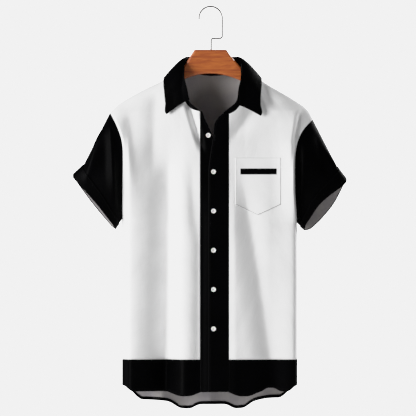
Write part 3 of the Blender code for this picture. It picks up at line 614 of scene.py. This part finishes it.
def raise_by(tree, shader, value, strength, distance):
    """Raise the shader's face by a value, over what raises it already."""
    bump = add(tree, "Bump", {"Height": value, "Strength": strength, "Distance": distance})
    for link in tuple(shader.inputs["Normal"].links):
        tree.links.new(link.from_socket, bump.inputs["Normal"])
    tree.links.new(bump.outputs["Normal"], shader.inputs["Normal"])


# Real sizes of the materials' marks in millimetres, one or one for each direction. Real threads lie
# 0.25 mm apart and slubs are 0.3 mm thick, too fine to show, so both are drawn coarser.
THREAD_PITCH = 0.7
SLUB_OVER = (16.7, 1.43, 1.43)
SLUB_DOWN = (2.0, 22.2, 2.0)
CLOTH_CLOUD = 71
PRESS_MARK = 29.4
THREAD_LAY = 0.4
RESIN_CLOUD = 4.55
BEECH_FIGURE = (91, 16.7, 10.5)
BEECH_PORE = (25, 2, 0.91)
DRAW_LINE = 1.11
FLOOR_CLOUD = 333
# A wave texture of scale 1 repeats this often a metre.
WAVE_PERIOD = 2 * math.pi / 20


def scale_of(mm):
    """A texture's scale, from the size of its marks."""
    return tuple(1000 / size for size in mm) if isinstance(mm, tuple) else 1000 / mm


def poplin(name, pale, deep, roughness, specular, sheen):
    """Cotton-polyester poplin, plain-woven with fine ribs across, printed and pressed.

    It gives an even, matt face with a faint slubby grain and soft marks of the press.
    """
    made, tree, shader = new_material(name, Roughness=roughness, Sheen_Weight=sheen, Sheen_Roughness=0.45,
                                      Specular_IOR_Level=specular)
    place = add(tree, "UVMap", uv_map="cloth").outputs["UV"]
    slubs = []
    for marks in (SLUB_OVER, SLUB_DOWN):
        drawn = add(tree, "Mapping", {"Vector": place, "Scale": scale_of(marks)}).outputs["Vector"]
        slubs.append(add(tree, "TexNoise", {"Vector": drawn, "Scale": 1.0, "Detail": 2.0}).outputs["Fac"])
    slub = add(tree, "Math", dict(enumerate(slubs)), operation="ADD")
    cloud = add(tree, "TexNoise", {"Vector": place, "Scale": scale_of(CLOTH_CLOUD), "Detail": 3.0})
    tone = add(tree, "Math", {0: slub.outputs[0], 1: 0.35, 2: cloud.outputs["Fac"]},
               operation="MULTIPLY_ADD")
    colour_by(tree, shader, tone.outputs[0], [(0.62, deep), (1.0, pale)])
    warp, weft = (add(tree, "TexWave", {"Vector": place, "Scale": WAVE_PERIOD * scale_of(THREAD_PITCH)},
                      bands_direction=way) for way in "XY")
    over = add(tree, "TexChecker", {"Vector": place, "Scale": scale_of(THREAD_PITCH)})
    weave = add(tree, "Mix", {"Factor": over.outputs["Fac"], "A": warp.outputs["Fac"],
                              "B": weft.outputs["Fac"]}, data_type="FLOAT")
    raise_by(tree, shader, weave.outputs["Result"], 0.25, 0.0001)
    pressed = add(tree, "TexNoise", {"Vector": place, "Scale": scale_of(PRESS_MARK), "Detail": 3.0,
                                     "Roughness": 0.45})
    raise_by(tree, shader, pressed.outputs["Fac"], 0.35, 0.0016)
    return made


def sewing_thread(name, colour):
    """Spun polyester thread, twisted from fibres: a matt bead with a faint lay across it."""
    made, tree, shader = new_material(name, Roughness=0.65, Sheen_Weight=0.03, Specular_IOR_Level=0.1)
    place = add(tree, "TexCoord").outputs["Object"]
    lay = add(tree, "TexWave", {"Vector": place, "Scale": WAVE_PERIOD * scale_of(THREAD_LAY),
                                "Distortion": 1.0}, bands_direction="DIAGONAL")
    raise_by(tree, shader, lay.outputs["Fac"], 0.4, 0.00006)
    shader.inputs["Base Color"].default_value = linear(colour)
    return made


def button_resin():
    """Cast polyester resin, tumbled to a polish: a clean white gloss with a faint pearl cloud in it."""
    made, tree, shader = new_material("cast resin, white", Roughness=0.22, IOR=1.55, Coat_Weight=0.3,
                                      Coat_Roughness=0.08, Subsurface_Weight=0.1, Subsurface_Scale=0.001)
    place = add(tree, "TexCoord").outputs["Object"]
    cloud = add(tree, "TexNoise", {"Vector": place, "Scale": scale_of(RESIN_CLOUD), "Detail": 2.0,
                                   "Distortion": 1.5})
    colour_by(tree, shader, cloud.outputs["Fac"], [(0.35, "#ECEBE6"), (0.65, "#FAFAF7")])
    return made


def stained_beech():
    """Beech board, sanded, stained orange-brown and lacquered: close grain along the arms, satin gloss."""
    made, tree, shader = new_material("beech, stained and lacquered", Roughness=0.42, IOR=1.5,
                                      Coat_Weight=0.10, Coat_Roughness=0.3)
    place = add(tree, "TexCoord").outputs["Object"]
    along = add(tree, "Mapping", {"Vector": place, "Scale": scale_of(BEECH_FIGURE)})
    figure = add(tree, "TexNoise", {"Vector": along.outputs["Vector"], "Scale": 1.0, "Detail": 5.0,
                                    "Roughness": 0.6, "Distortion": 1.2})
    fine = add(tree, "Mapping", {"Vector": place, "Scale": scale_of(BEECH_PORE)})
    pores = add(tree, "TexNoise", {"Vector": fine.outputs["Vector"], "Scale": 1.0, "Detail": 2.0})
    grain = add(tree, "Math", {0: pores.outputs["Fac"], 1: 0.35, 2: figure.outputs["Fac"]},
                operation="MULTIPLY_ADD")
    colour_by(tree, shader, grain.outputs[0], [(0.45, "#8A421F"), (0.62, "#A95527"), (0.82, "#C26C30")])
    raise_by(tree, shader, pores.outputs["Fac"], 0.25, 0.0001)
    return made


def plated_wire():
    """Steel wire, drawn and bright-plated: a mirror-like grey with faint draw lines."""
    made, tree, shader = new_material("steel wire, bright plated", Metallic=1.0, Roughness=0.45)
    place = add(tree, "TexCoord").outputs["Object"]
    drawn = add(tree, "TexNoise", {"Vector": place, "Scale": scale_of(DRAW_LINE), "Detail": 2.0})
    colour_by(tree, shader, drawn.outputs["Fac"], [(0.3, "#7E7D7C"), (0.7, "#9A9997")])
    return made


WHITE_FACE = poplin("poplin, white", "#F4F4F4", "#ECECEC", 0.85, 0.10, 0.02)
BLACK_FACE = poplin("poplin, printed black", "#030304", "#020202", 0.42, 0.016, 0.001)
REVERSE = poplin("poplin, grey reverse", "#A8A4A1", "#9A969B", 0.85, 0.10, 0.02)
WHITE_THREAD = sewing_thread("polyester thread, white", "#F0F0EE")
BLACK_THREAD = sewing_thread("polyester thread, black", "#08080A")
# Dark grey thread, drawn thicker than real stitching along the shoulders' top edges and the pocket's lower
# edge, is painted shade: it draws the dark line at the shoulder's edge and the shadow under the pocket's
# edge.
SHADE_LINE_THREAD = sewing_thread("polyester thread, grey, painted shade line", "#2E2C2A")
RESIN = button_resin()
BEECH = stained_beech()
WIRE = plated_wire()


# ---------------------------------------------------------------- pieces of the shirt

fronts, hems = {}, {}
for side, word in ((-1, "right"), (1, "left")):
    top = np.concatenate([front_neck(side, NECK_COLUMNS), shoulder(side)])
    fronts[side] = Sheet(half_panel(side, top, BAND_SEAM[side], True), turned=side > 0)
    cloth_piece(f"front_{word}", fronts[side], CLOTH, WHITE_FACE, REVERSE)
    hems[side] = Sheet(half_hem(side, BAND_SEAM[side], True), turned=side > 0)
    cloth_piece(f"hem_front_{word}", hems[side].hemmed(HEM_TURN), CLOTH, BLACK_FACE, REVERSE)

tops = {side: np.concatenate([back_neck(side, NECK_COLUMNS), shoulder(side)]) for side in (-1, 1)}
back = Sheet(both_halves(*(half_panel(side, tops[side], NECK_X, False) for side in (-1, 1))))
cloth_piece("back", back, CLOTH, WHITE_FACE, REVERSE)
hem_back = Sheet(both_halves(*(half_hem(side, NECK_X, False) for side in (-1, 1))))
cloth_piece("hem_back", hem_back.hemmed(HEM_TURN), CLOTH, BLACK_FACE, REVERSE)

bands = {}
for side, node in ((-1, "band_button"), (1, "band_buttonhole")):
    seam = BAND_SEAM[side]
    top, foot = front_neck(side, 1)[0, 1], hem_z(np.array(seam), side, True)
    above, below = steps(PANEL_ROWS) ** ROW_CROWDING, steps(HEM_ROWS)[1:]
    heights = np.concatenate([top + (HEM_SEAM_Z - top) * above, HEM_SEAM_Z + (foot - HEM_SEAM_Z) * below])
    free = smooth(heights, [row.z for row in FREE_EDGE[side]], [row.x for row in FREE_EDGE[side]])
    share = steps(BAND_COLUMNS)
    x = seam + (free[:, None] - seam) * share
    bands[side] = Sheet(body_points(x, heights[:, None] + 0 * x, True, side), turned=side < 0)
    cloth_piece(node, bands[side], DOUBLED, BLACK_FACE, BLACK_FACE)


def armhole(side):
    """The armhole's points, down the front from the shoulder and up the back."""
    shares = steps(SLEEVE_HALF_COLUMNS) ** SIDE_CROWDING
    top = SIDE[side][0].z
    z = top + (HEM_SEAM_Z - top) * ARMPIT_SHARE * shares
    front = body_points(side_x(side, z), z, True, side)
    behind = body_points(side_x(side, z), z, False, side)
    down = np.concatenate([shares, shares[-2:0:-1]])
    turn = np.concatenate([-np.ones(len(shares)), np.ones(len(shares) - 2)])
    return np.concatenate([front, behind[-2:0:-1]]), down, turn


def section(row, down, turn):
    """The points of a sleeve's lower section, opposite those of the armhole."""
    angle = np.arccos(1 - 2 * down)
    outer = np.array([row.outer_x, 0, row.outer_z])
    inner = np.array([row.inner_x, 0, row.inner_z])
    lift = unit(np.array([inner[2] - outer[2], 0, outer[0] - inner[0]]))
    lift = lift * np.sign(lift[2])
    middle = (outer + inner) / 2
    points = middle + (outer - middle) * np.cos(angle)[:, None]
    shares = [row.down for row in GAPE]
    front, back = (smooth(down, shares, [getattr(row, key) for row in GAPE]) for key in ("front", "back"))
    points = points + lift * row.tilt * np.where(turn < 0, front, -back)[:, None]
    points = points + lift * FOLD_ROUND * (np.clip(1 - down / FOLD_REACH, 0, 1) ** 2)[:, None]
    bulge = np.clip(np.sin(angle), 0, 1) ** np.where(down < 0.5, SLEEVE_FLATNESS, 1)
    points[:, 1] = row.half_depth * bulge * turn
    return points


sleeves, cuffs = {}, {}
for side, word in ((-1, "right"), (1, "left")):
    loop, down, turn = armhole(side)
    first, end = (section(row, down, turn) for row in SLEEVE[side])
    rows = []
    for t in np.linspace(0, 2, SLEEVE_ROWS + 1):
        if t <= 1:
            row = loop + (first - loop) * t
            row[:, 1] += SLEEVE_BULGE * np.sin(math.pi * t) * np.sin(np.arccos(1 - 2 * down)) * turn
        else:
            row = first + (end - first) * (t - 1)
        rows.append(row)
    plain = Sheet(rows, ring=True, turned=side < 0)
    reach = np.linspace(0, 2, SLEEVE_ROWS + 1)[:, None]
    rise = crease_rise(plain.points[:, :, 0], plain.points[:, :, 2], SLEEVE_CREASES[side])
    fade = ease(reach / ARMHOLE_FADE) * ease(2 - reach / CUFF_FADE)
    sleeves[side] = plain.pushed(rise * fade * ease(abs(plain.normals[:, :, 1]) * EDGE_ON_FADE))
    cloth_piece(f"sleeve_{word}", sleeves[side], CLOTH, BLACK_FACE, REVERSE)
    outer = sleeves[side].lifted(CUFF_STAND_OFF)[SLEEVE_ROWS // 2:]
    outer[-1] += unit(outer[-1] - outer[-2]) * CUFF_LIP
    cuffs[side] = Sheet(outer, ring=True, turned=side < 0)
    folded = cuffs[side].hemmed(CUFF_FOOT).hemmed(CUFF_HEAD, head=True)
    cloth_piece(f"cuff_{word}", folded, CLOTH, BLACK_FACE, BLACK_FACE)


def collar_at(along, side):
    places = [row.along for row in COLLAR]
    found = {key: smooth(along, places, [getattr(row, key) for row in COLLAR])
             for key in Collar._fields[1:]}
    fold = np.stack([NECK_X + side * found["fold_x"], found["fold_y"], found["fold_z"]], axis=-1)
    edge = np.stack([NECK_X + side * found["edge_x"], found["edge_y"], found["edge_z"]], axis=-1)
    return fold, edge


def collar_half(side, stand):
    """Half of the stand, or of the leaf, from the front corner to the middle of the back."""
    if stand:
        before, behind = front_neck(side, STAND_FRONT_COLUMNS), back_neck(side, STAND_BACK_COLUMNS)[-2::-1]
        base = np.concatenate([body_points(before[:, 0], before[:, 1], True, side),
                               body_points(behind[:, 0], behind[:, 1], False, side)])
        along = np.concatenate([np.linspace(0, SIDE_PLACE, STAND_FRONT_COLUMNS + 1),
                                np.linspace(SIDE_PLACE, 1, STAND_BACK_COLUMNS + 1)[1:]])
        fold, _ = collar_at(along, side)
        if side > 0:
            ends = [np.linspace(np.array(end), line[0], STAND_END_COLUMNS)[:-1]
                    for end, line in zip(STAND_END, (base, fold))]
            base, fold = (np.concatenate([end, line]) for end, line in zip(ends, (base, fold)))
        return np.stack([base + (fold - base) * t for t in np.linspace(0, 1, STAND_ROWS)])
    along = np.linspace(NOTCH_ALONG, 1, COLLAR_HALF_COLUMNS + 1)
    fold, edge = collar_at(along, side)
    outward = fold * (1, 1, 0) - (NECK_X, 0, 0)
    front_share = 1 - ease((along - NOTCH_ALONG) / FRONT_REACH)[:, None]
    roll = unit(unit(outward) + (1 - front_share) * (0, 0, 1))
    corner = CORNER[side]
    fold = fold + front_share * (corner.notch_x, 0, corner.notch_z)
    edge = edge + front_share * (corner.tip_x, 0, corner.tip_z)
    rows = []
    for t in np.linspace(0, 1, LEAF_ROWS) ** LEAF_CROWDING:
        row = fold + (edge - fold) * t + roll * LEAF_ROLL * math.sin(math.pi * t ** ROLL_POWER)
        row[:, 2] += LEAF_OVER_STAND * (1 - t)
        for front in (True, False):
            least = form_depth(row[:, 0], row[:, 2], front, LEAF_CLEARANCE)
            near = row[:, 2] < shoulder_z(row[:, 0]) + LEAF_CLEARANCE
            mine = (along < SIDE_PLACE) == front
            low = near & mine & (abs(row[:, 1]) < least)
            row[:, 1] = np.where(low, -least if front else least, row[:, 1])
        rows.append(row)
    return np.stack(rows)


def whole_collar(stand):
    right, left = (collar_half(side, stand) for side in (-1, 1))
    return Sheet(np.concatenate([right, left[:, -2::-1]], axis=1), turned=True)


stand = whole_collar(True)
cloth_piece("collar_stand", stand, DOUBLED, BLACK_FACE, BLACK_FACE)
leaf = whole_collar(False)
cloth_piece("collar_leaf", leaf, DOUBLED, BLACK_FACE, BLACK_FACE)


def patch(shape, lift, rows, columns):
    """A sheet that lies on the wearer's left front, lifted off it."""
    across = steps(columns)
    x = shape.left + (shape.right - shape.left) * across
    low = shape.point + (shape.side - shape.point) * abs(2 * across - 1)
    z = shape.top + (low - shape.top) * steps(rows)[:, None]
    under = Sheet(body_points(x + 0 * z, z, True, 1), turned=True)
    return Sheet(under.lifted(lift), turned=True)


pocket = patch(POCKET, POCKET_LIFT, 70, 60)
cloth_piece("pocket", pocket, PRESSED, WHITE_FACE, REVERSE)
bar = patch(BAR, BAR_LIFT, 10, 50)
cloth_piece("pocket_bar", bar, CLOTH, BLACK_FACE, BLACK_FACE)


# ---------------------------------------------------------------- sewing

STITCH_LENGTH = 0.0021
STITCH_PITCH = 0.0028
STITCH_RADIUS = 0.00022
# The thicker dark thread draws a painted shade line, not a seam.
SHADE_LINE_RADIUS = 0.0005
THREAD_LIES = 0.0001
ZIGZAG_LIES = 0.0002

# The rows of stitching. Each runs on a sheet a little way in from one of its edges, with a length
# left out at its start and end, or over a few of the edge's points.
Row = namedtuple("Row", "sheet edge inset start end points", defaults=(0, 0, slice(None)))
SEAM_IN = 0.002
BAND_IN = 0.005
HEM_IN = 0.0045
ARMHOLE_IN = 0.006
BAR_IN = 0.0012


def thread_beads(starts, ends, ups, radius):
    """Corner points and faces of short spindles of thread, one for each start and end."""
    sides = 5
    points, faces = [], []
    for start, end, up in zip(starts, ends, ups):
        way = unit(end - start)
        over = unit(np.cross(way, up))
        up = np.cross(over, way)
        first = len(points)
        for share, girth, drop in ((0, 0.35, 0.7), (0.22, 1, 0), (0.78, 1, 0), (1, 0.35, 0.7)):
            middle = start + (end - start) * share - up * radius * drop
            for k in range(sides):
                a = 2 * math.pi * k / sides
                points.append(middle + (over * math.cos(a) + up * math.sin(a)) * radius * girth)
        for ring in range(3):
            for k in range(sides):
                a, b = first + ring * sides + k, first + ring * sides + (k + 1) % sides
                faces.append((a, b, b + sides, a + sides))
        faces.append(tuple(first + k for k in range(sides))[::-1])
        faces.append(tuple(first + 3 * sides + k for k in range(sides)))
    return points, faces


def stitched(rows, height):
    """Starts, ends and ways up of the stitches of the rows."""
    starts, ends, ups = [], [], []
    for row in rows:
        points, normals = (line[row.points] for line in row.sheet.inset(row.edge, row.inset))
        run = run_along(points)
        keep = (run >= row.start) & (run <= run[-1] - row.end)
        points, normals = points[keep] + normals[keep] * height, normals[keep]
        run = run_along(points)
        count = max(int(run[-1] / STITCH_PITCH), 1)
        middles = (np.arange(count) + 0.5) * run[-1] / count
        for tips, shift in ((starts, -STITCH_LENGTH / 2), (ends, STITCH_LENGTH / 2)):
            tips.extend(read_at(np.clip(middles + shift, 0, run[-1]), run, points))
        ups.extend(read_at(middles, run, normals))
    return starts, ends, ups


def thread_piece(name, beads, finish, radius=STITCH_RADIUS):
    points, faces = thread_beads(*beads, radius)
    mesh = bpy.data.meshes.new(name)
    mesh.from_pydata([tuple(p) for p in points], [], faces)
    mesh.shade_smooth()
    piece = new_object(name, mesh)
    mesh.materials.append(finish)
    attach(piece, "root")


down_armhole = slice(8, int(PANEL_ROWS * ARMPIT_SHARE ** (1 / ROW_CROWDING)))
along_shoulder = slice(NECK_COLUMNS + 2, None)
white_rows, shade_line_rows, black_rows = [], [], []
for side in (-1, 1):
    white_rows.append(Row(fronts[side], "last", ARMHOLE_IN, points=down_armhole))
    # A dark thread along the shoulder's top edge: a painted shade line along the shoulder.
    shade_line_rows.append(Row(fronts[side], "top", 0.0006, 0.002, 0.008, along_shoulder))
    black_rows += [Row(hems[side], "top", SEAM_IN), Row(hems[side], "low", HEM_IN),
                   Row(bands[side], "first", SEAM_IN), Row(bands[side], "last", BAND_IN),
                   Row(cuffs[side], "top", SEAM_IN), Row(cuffs[side], "top", 0.0265),
                   Row(sleeves[side], "top", 0.0015)]
white_rows += [Row(back, edge, ARMHOLE_IN, points=down_armhole) for edge in ("first", "last")]
white_rows += [Row(pocket, edge, SEAM_IN, 0.001, 0.002) for edge in ("first", "last")]
white_rows.append(Row(pocket, "top", 0.019, 0.003, 0.003))
# A dark thread along the pocket's lower edge: the shadow under the pocket's edge, painted.
shade_line_rows.append(Row(pocket, "low", 0.0008))
black_rows += [Row(hem_back, "top", SEAM_IN), Row(hem_back, "low", HEM_IN), Row(stand, "low", 0.0015),
               Row(stand, "top", 0.0018), Row(leaf, "low", BAND_IN, 0.005, 0.005)]
black_rows += [Row(leaf, edge, BAND_IN, 0.004, 0.005) for edge in ("first", "last")]
black_rows += [Row(bar, edge, BAR_IN, 0.001, 0.001) for edge in ("first", "last", "low", "top")]
thread_piece("white_stitching", stitched(white_rows, CLOTH / 2 + THREAD_LIES), WHITE_THREAD)
# The dark grey thread is painted shade: lines of shadow drawn as stitching.
thread_piece("shade_line_stitching", stitched(shade_line_rows, CLOTH / 2 + THREAD_LIES), SHADE_LINE_THREAD,
             SHADE_LINE_RADIUS)
thread_piece("black_stitching", stitched(black_rows, DOUBLED / 2 + THREAD_LIES), BLACK_THREAD)


def band_place(side, x, z):
    """A point on a band's outer face, and the way out of it there."""
    step = 0.001
    here, right, up = (body_points(np.array(a), np.array(b), True, side)
                       for a, b in ((x, z), (x + step, z), (x, z + step)))
    out = unit(np.cross(right - here, up - here))
    return here + out * DOUBLED / 2, out


def buttonhole_beads(x, z):
    """The close zigzag round a vertical buttonhole in the top band."""
    starts, ends, ups = [], [], []
    for k in np.arange(-BUTTONHOLE_LENGTH / 2, BUTTONHOLE_LENGTH / 2, ZIGZAG_PITCH):
        at_end = abs(k) > BUTTONHOLE_LENGTH / 2 - BAR_TACK
        for spans in (((-1, 1),) if at_end else ((-1, -BUTTONHOLE_SLIT), (BUTTONHOLE_SLIT, 1))):
            (start, up), (end, end_up) = (band_place(1, x + BUTTONHOLE_WIDTH / 2 * s, z + k)
                                          for s in spans)
            starts.append(start + up * ZIGZAG_LIES)
            ends.append(end + end_up * ZIGZAG_LIES)
            ups.append(up)
    return starts, ends, ups


# ---------------------------------------------------------------- buttons

# How high the dished face lies, as a share of the thickness, and how the thread lies in it.
DISH = 0.60
THREAD_HEIGHT = BUTTON_THICKNESS * DISH + 0.0002
THREAD_APART = 0.00018


def button_blank():
    """A turned button with a dished face, a rolled rim and four holes drilled through."""
    radius, thick = BUTTON_RADIUS, BUTTON_THICKNESS
    profile = [(0, DISH), (0.42, DISH), (0.52, 0.63), (0.60, 0.80), (0.68, 0.96), (0.80, 1.0), (0.91, 0.98),
               (0.97, 0.88), (1.0, 0.68), (0.99, 0.45), (0.95, 0.25), (0.88, 0.10), (0.78, 0.0), (0, 0)]
    mesh = bpy.data.meshes.new("button profile")
    edges = [(i, i + 1) for i in range(len(profile) - 1)]
    mesh.from_pydata([(radius * x, 0, thick * z) for x, z in profile], edges, [])
    blank = new_object("button profile", mesh)
    turn = blank.modifiers.new("turn", "SCREW")
    turn.steps = turn.render_steps = 40
    turn.use_merge_vertices = True
    turn.merge_threshold = 0.00001
    drills = bmesh.new()
    for k in range(4):
        angle = math.pi / 4 + k * math.pi / 2
        place = (BUTTON_HOLE_OUT * math.cos(angle), BUTTON_HOLE_OUT * math.sin(angle), 0)
        bmesh.ops.create_cone(drills, cap_ends=True, segments=14, radius1=BUTTON_HOLE, radius2=BUTTON_HOLE,
                              depth=3 * thick, matrix=Matrix.Translation(place))
    drill = solid_object("drills", drills)
    cut = blank.modifiers.new("holes", "BOOLEAN")
    cut.object = drill
    bpy.context.view_layer.update()
    made = bpy.data.meshes.new_from_object(blank.evaluated_get(bpy.context.evaluated_depsgraph_get()))
    for obj in (blank, drill):
        bpy.data.objects.remove(obj)
    made.shade_smooth()
    made.set_sharp_from_angle(angle=math.radians(35))
    made.materials.clear()
    made.materials.append(RESIN)
    return made


def button_thread(turn):
    """Two parallel passes of thread over a button's holes, in the button's own frame."""
    starts, ends, ups = [], [], []
    out = BUTTON_HOLE_OUT * math.sqrt(0.5)
    for s in (-1, 1):
        for shift in (-THREAD_APART, THREAD_APART):
            starts.append(np.array(turn @ Vector((-out, s * out + shift, THREAD_HEIGHT))))
            ends.append(np.array(turn @ Vector((out, s * out + shift, THREAD_HEIGHT))))
            ups.append(np.array(turn.to_3x3() @ Vector((0, 0, 1))))
    return starts, ends, ups


def joined(groups):
    return tuple([item for group in groups for item in group[k]] for k in range(3))


blank = button_blank()
places = [(-1, OPEN_BUTTON.x, OPEN_BUTTON.z, OPEN_BUTTON_TURN)]
places += [(1, BUTTON_X, BUTTON_TOP_Z - BUTTON_SPACING * i, angle) for i, angle in enumerate(BUTTON_TURNS)]
threads, holes = [], [buttonhole_beads(*OPEN_BUTTONHOLE)]
for i, (side, x, z, angle) in enumerate(places, 1):
    button = new_object(f"resin_button_{i}", blank.copy())
    point, out = band_place(side, x, z)
    facing = Vector(out).to_track_quat("Z", "Y").to_matrix().to_4x4()
    turn = (Matrix.Translation(Vector(point + out * BUTTON_LIFT)) @ facing
            @ Matrix.Rotation(math.radians(angle), 4, "Z"))
    button.data.transform(turn)
    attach(button, "root")
    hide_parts(f"button_{i}")
    threads.append(button_thread(turn))
    if side > 0:
        holes.append(buttonhole_beads(x, z))
thread_piece("button_threads", joined(threads), WHITE_THREAD)
thread_piece("buttonholes", joined(holes), BLACK_THREAD)


# ---------------------------------------------------------------- hanger

def round_corners(route, radius, count):
    """A route with each corner replaced by a small smooth bend."""
    out = [route[0]]
    for before, at, after in zip(route, route[1:], route[2:]):
        cut = min(radius, (before - at).length / 2.2, (after - at).length / 2.2)
        a, b = at + (before - at).normalized() * cut, at + (after - at).normalized() * cut
        for k in range(count + 1):
            t = k / count
            out.append(a * (1 - t) ** 2 + at * 2 * t * (1 - t) + b * t * t)
    return out + [route[-1]]


def add_wire():
    """The hanger's wire: a bend over the rail, a straight drop, a step back in and the stem."""
    middle_z = WIRE_RADIUS - HOOK_RADIUS
    bend = [Vector((HOOK_RADIUS * math.cos(a), 0, middle_z + HOOK_RADIUS * math.sin(a)))
            for a in np.linspace(math.pi, 0, 40)]
    corners = [bend[-1], Vector((HOOK_RADIUS, 0, HOOK_LOW_Z)), Vector((STEM_X, 0, STEM_TOP_Z)),
               Vector((STEM_X, 0, STEM_LOW_Z))]
    tip = Vector((-HOOK_RADIUS, 0, middle_z - HOOK_TIP))
    route = [tip] + bend[:-1] + round_corners(corners, WIRE_BEND, 8)
    curve = bpy.data.curves.new("hook_wire", "CURVE")
    curve.dimensions = "3D"
    curve.bevel_depth = WIRE_RADIUS
    curve.bevel_resolution = 4
    curve.use_fill_caps = True
    line = curve.splines.new("POLY")
    line.points.add(len(route) - 1)
    for point, place in zip(line.points, route):
        point.co = (*place, 1)
    curve.materials.append(WIRE)
    piece = new_object("hook_wire", curve)
    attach(piece, "root")
    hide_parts("hanger_hook")


add_wire()
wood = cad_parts["hanger_wood"]
wood.data.materials.clear()
wood.data.materials.append(BEECH)


# ---------------------------------------------------------------- room, light and camera

FLOOR_RADIUS = 1.6
FLOOR_Z = -1.32
LIGHT_TARGET = (0, 0, -0.5)


def add_floor():
    """A plain pale studio floor, matt-painted, below the hanging shirt."""
    made, tree, shader = new_material("painted floor, matt", Roughness=0.9, Specular_IOR_Level=0.2)
    place = add(tree, "TexCoord").outputs["Object"]
    cloud = add(tree, "TexNoise", {"Vector": place, "Scale": scale_of(FLOOR_CLOUD), "Detail": 2.0})
    colour_by(tree, shader, cloud.outputs["Fac"], [(0.3, "#EDEDED"), (0.7, "#F1F1F1")])
    disc = bmesh.new()
    bmesh.ops.create_circle(disc, cap_ends=True, segments=96, radius=FLOOR_RADIUS,
                            matrix=Matrix.Translation((0, 0, FLOOR_Z)))
    floor = solid_object("floor", disc)
    floor.data.materials.append(made)


def add_light(name, place, size, power):
    light = bpy.data.lights.new(name, "AREA")
    light.shape = "DISK"
    light.size = size
    light.energy = power
    obj = new_object(name, light)
    obj.location = place
    obj.rotation_mode = "QUATERNION"
    obj.rotation_quaternion = (Vector(LIGHT_TARGET) - Vector(place)).to_track_quat("-Z", "Y")


# The studio walls look as pale as the photo's backdrop and give the shirt less light than that.
ROOM_LIGHT = 0.18
WHITE_LEVEL = 1.3

add_floor()
add_light("key light", (-3.9, -2.4, 0.2), 3.0, 268)
add_light("side fill", (3.4, 1.5, 1.4), 1.8, 105)
add_light("low fill", (2.2, -3.2, -2.2), 1.2, 18)
add_light("back light", (2.4, 3.4, 1.6), 2.0, 100)
world = bpy.data.worlds.new("studio")
world.use_nodes = True
backdrop = world.node_tree.nodes["Background"]
backdrop.inputs["Color"].default_value = linear("#FFFFFF")
backdrop.inputs["Strength"].default_value = 2 * WHITE_LEVEL
room = add(world.node_tree, "Background", {"Color": linear("#F1F1F1"), "Strength": ROOM_LIGHT})
seen = add(world.node_tree, "LightPath")
both = add(world.node_tree, "MixShader", {0: seen.outputs["Is Camera Ray"], 1: room.outputs[0],
                                          2: backdrop.outputs[0]})
world.node_tree.links.new(both.outputs[0], world.node_tree.nodes["World Output"].inputs["Surface"])
SCENE.world = world

# The photo's whites level off at the backdrop's pale grey, so the brightest cloth is held there too.
grade = SCENE.view_settings
grade.view_transform = "Standard"
grade.use_curve_mapping = True
grade.curve_mapping.white_level = (WHITE_LEVEL,) * 3
for light_in, light_out in ((0.46, 0.60), (0.62, 0.765)):
    grade.curve_mapping.curves[3].points.new(light_in, light_out)
grade.curve_mapping.curves[3].points[-1].location = (1.0, linear("#F1F1F1")[0])
grade.curve_mapping.extend = "HORIZONTAL"
grade.curve_mapping.update()

# The photo's frame is 1.04 m across at the shirt, seen straight on through a long lens.
VIEW_WIDTH = 1.04
VIEW_DISTANCE = 20.0
VIEW_CENTRE = Vector((-0.0065, -0.03, -0.5025))
camera = bpy.data.cameras.new("camera")
camera.lens = camera.sensor_width * VIEW_DISTANCE / VIEW_WIDTH
camera.clip_end = 50
view = new_object("camera", camera)
view.location = VIEW_CENTRE + Vector((0, -VIEW_DISTANCE, 0))
view.rotation_euler = (math.radians(90), 0, 0)
SCENE.camera = view
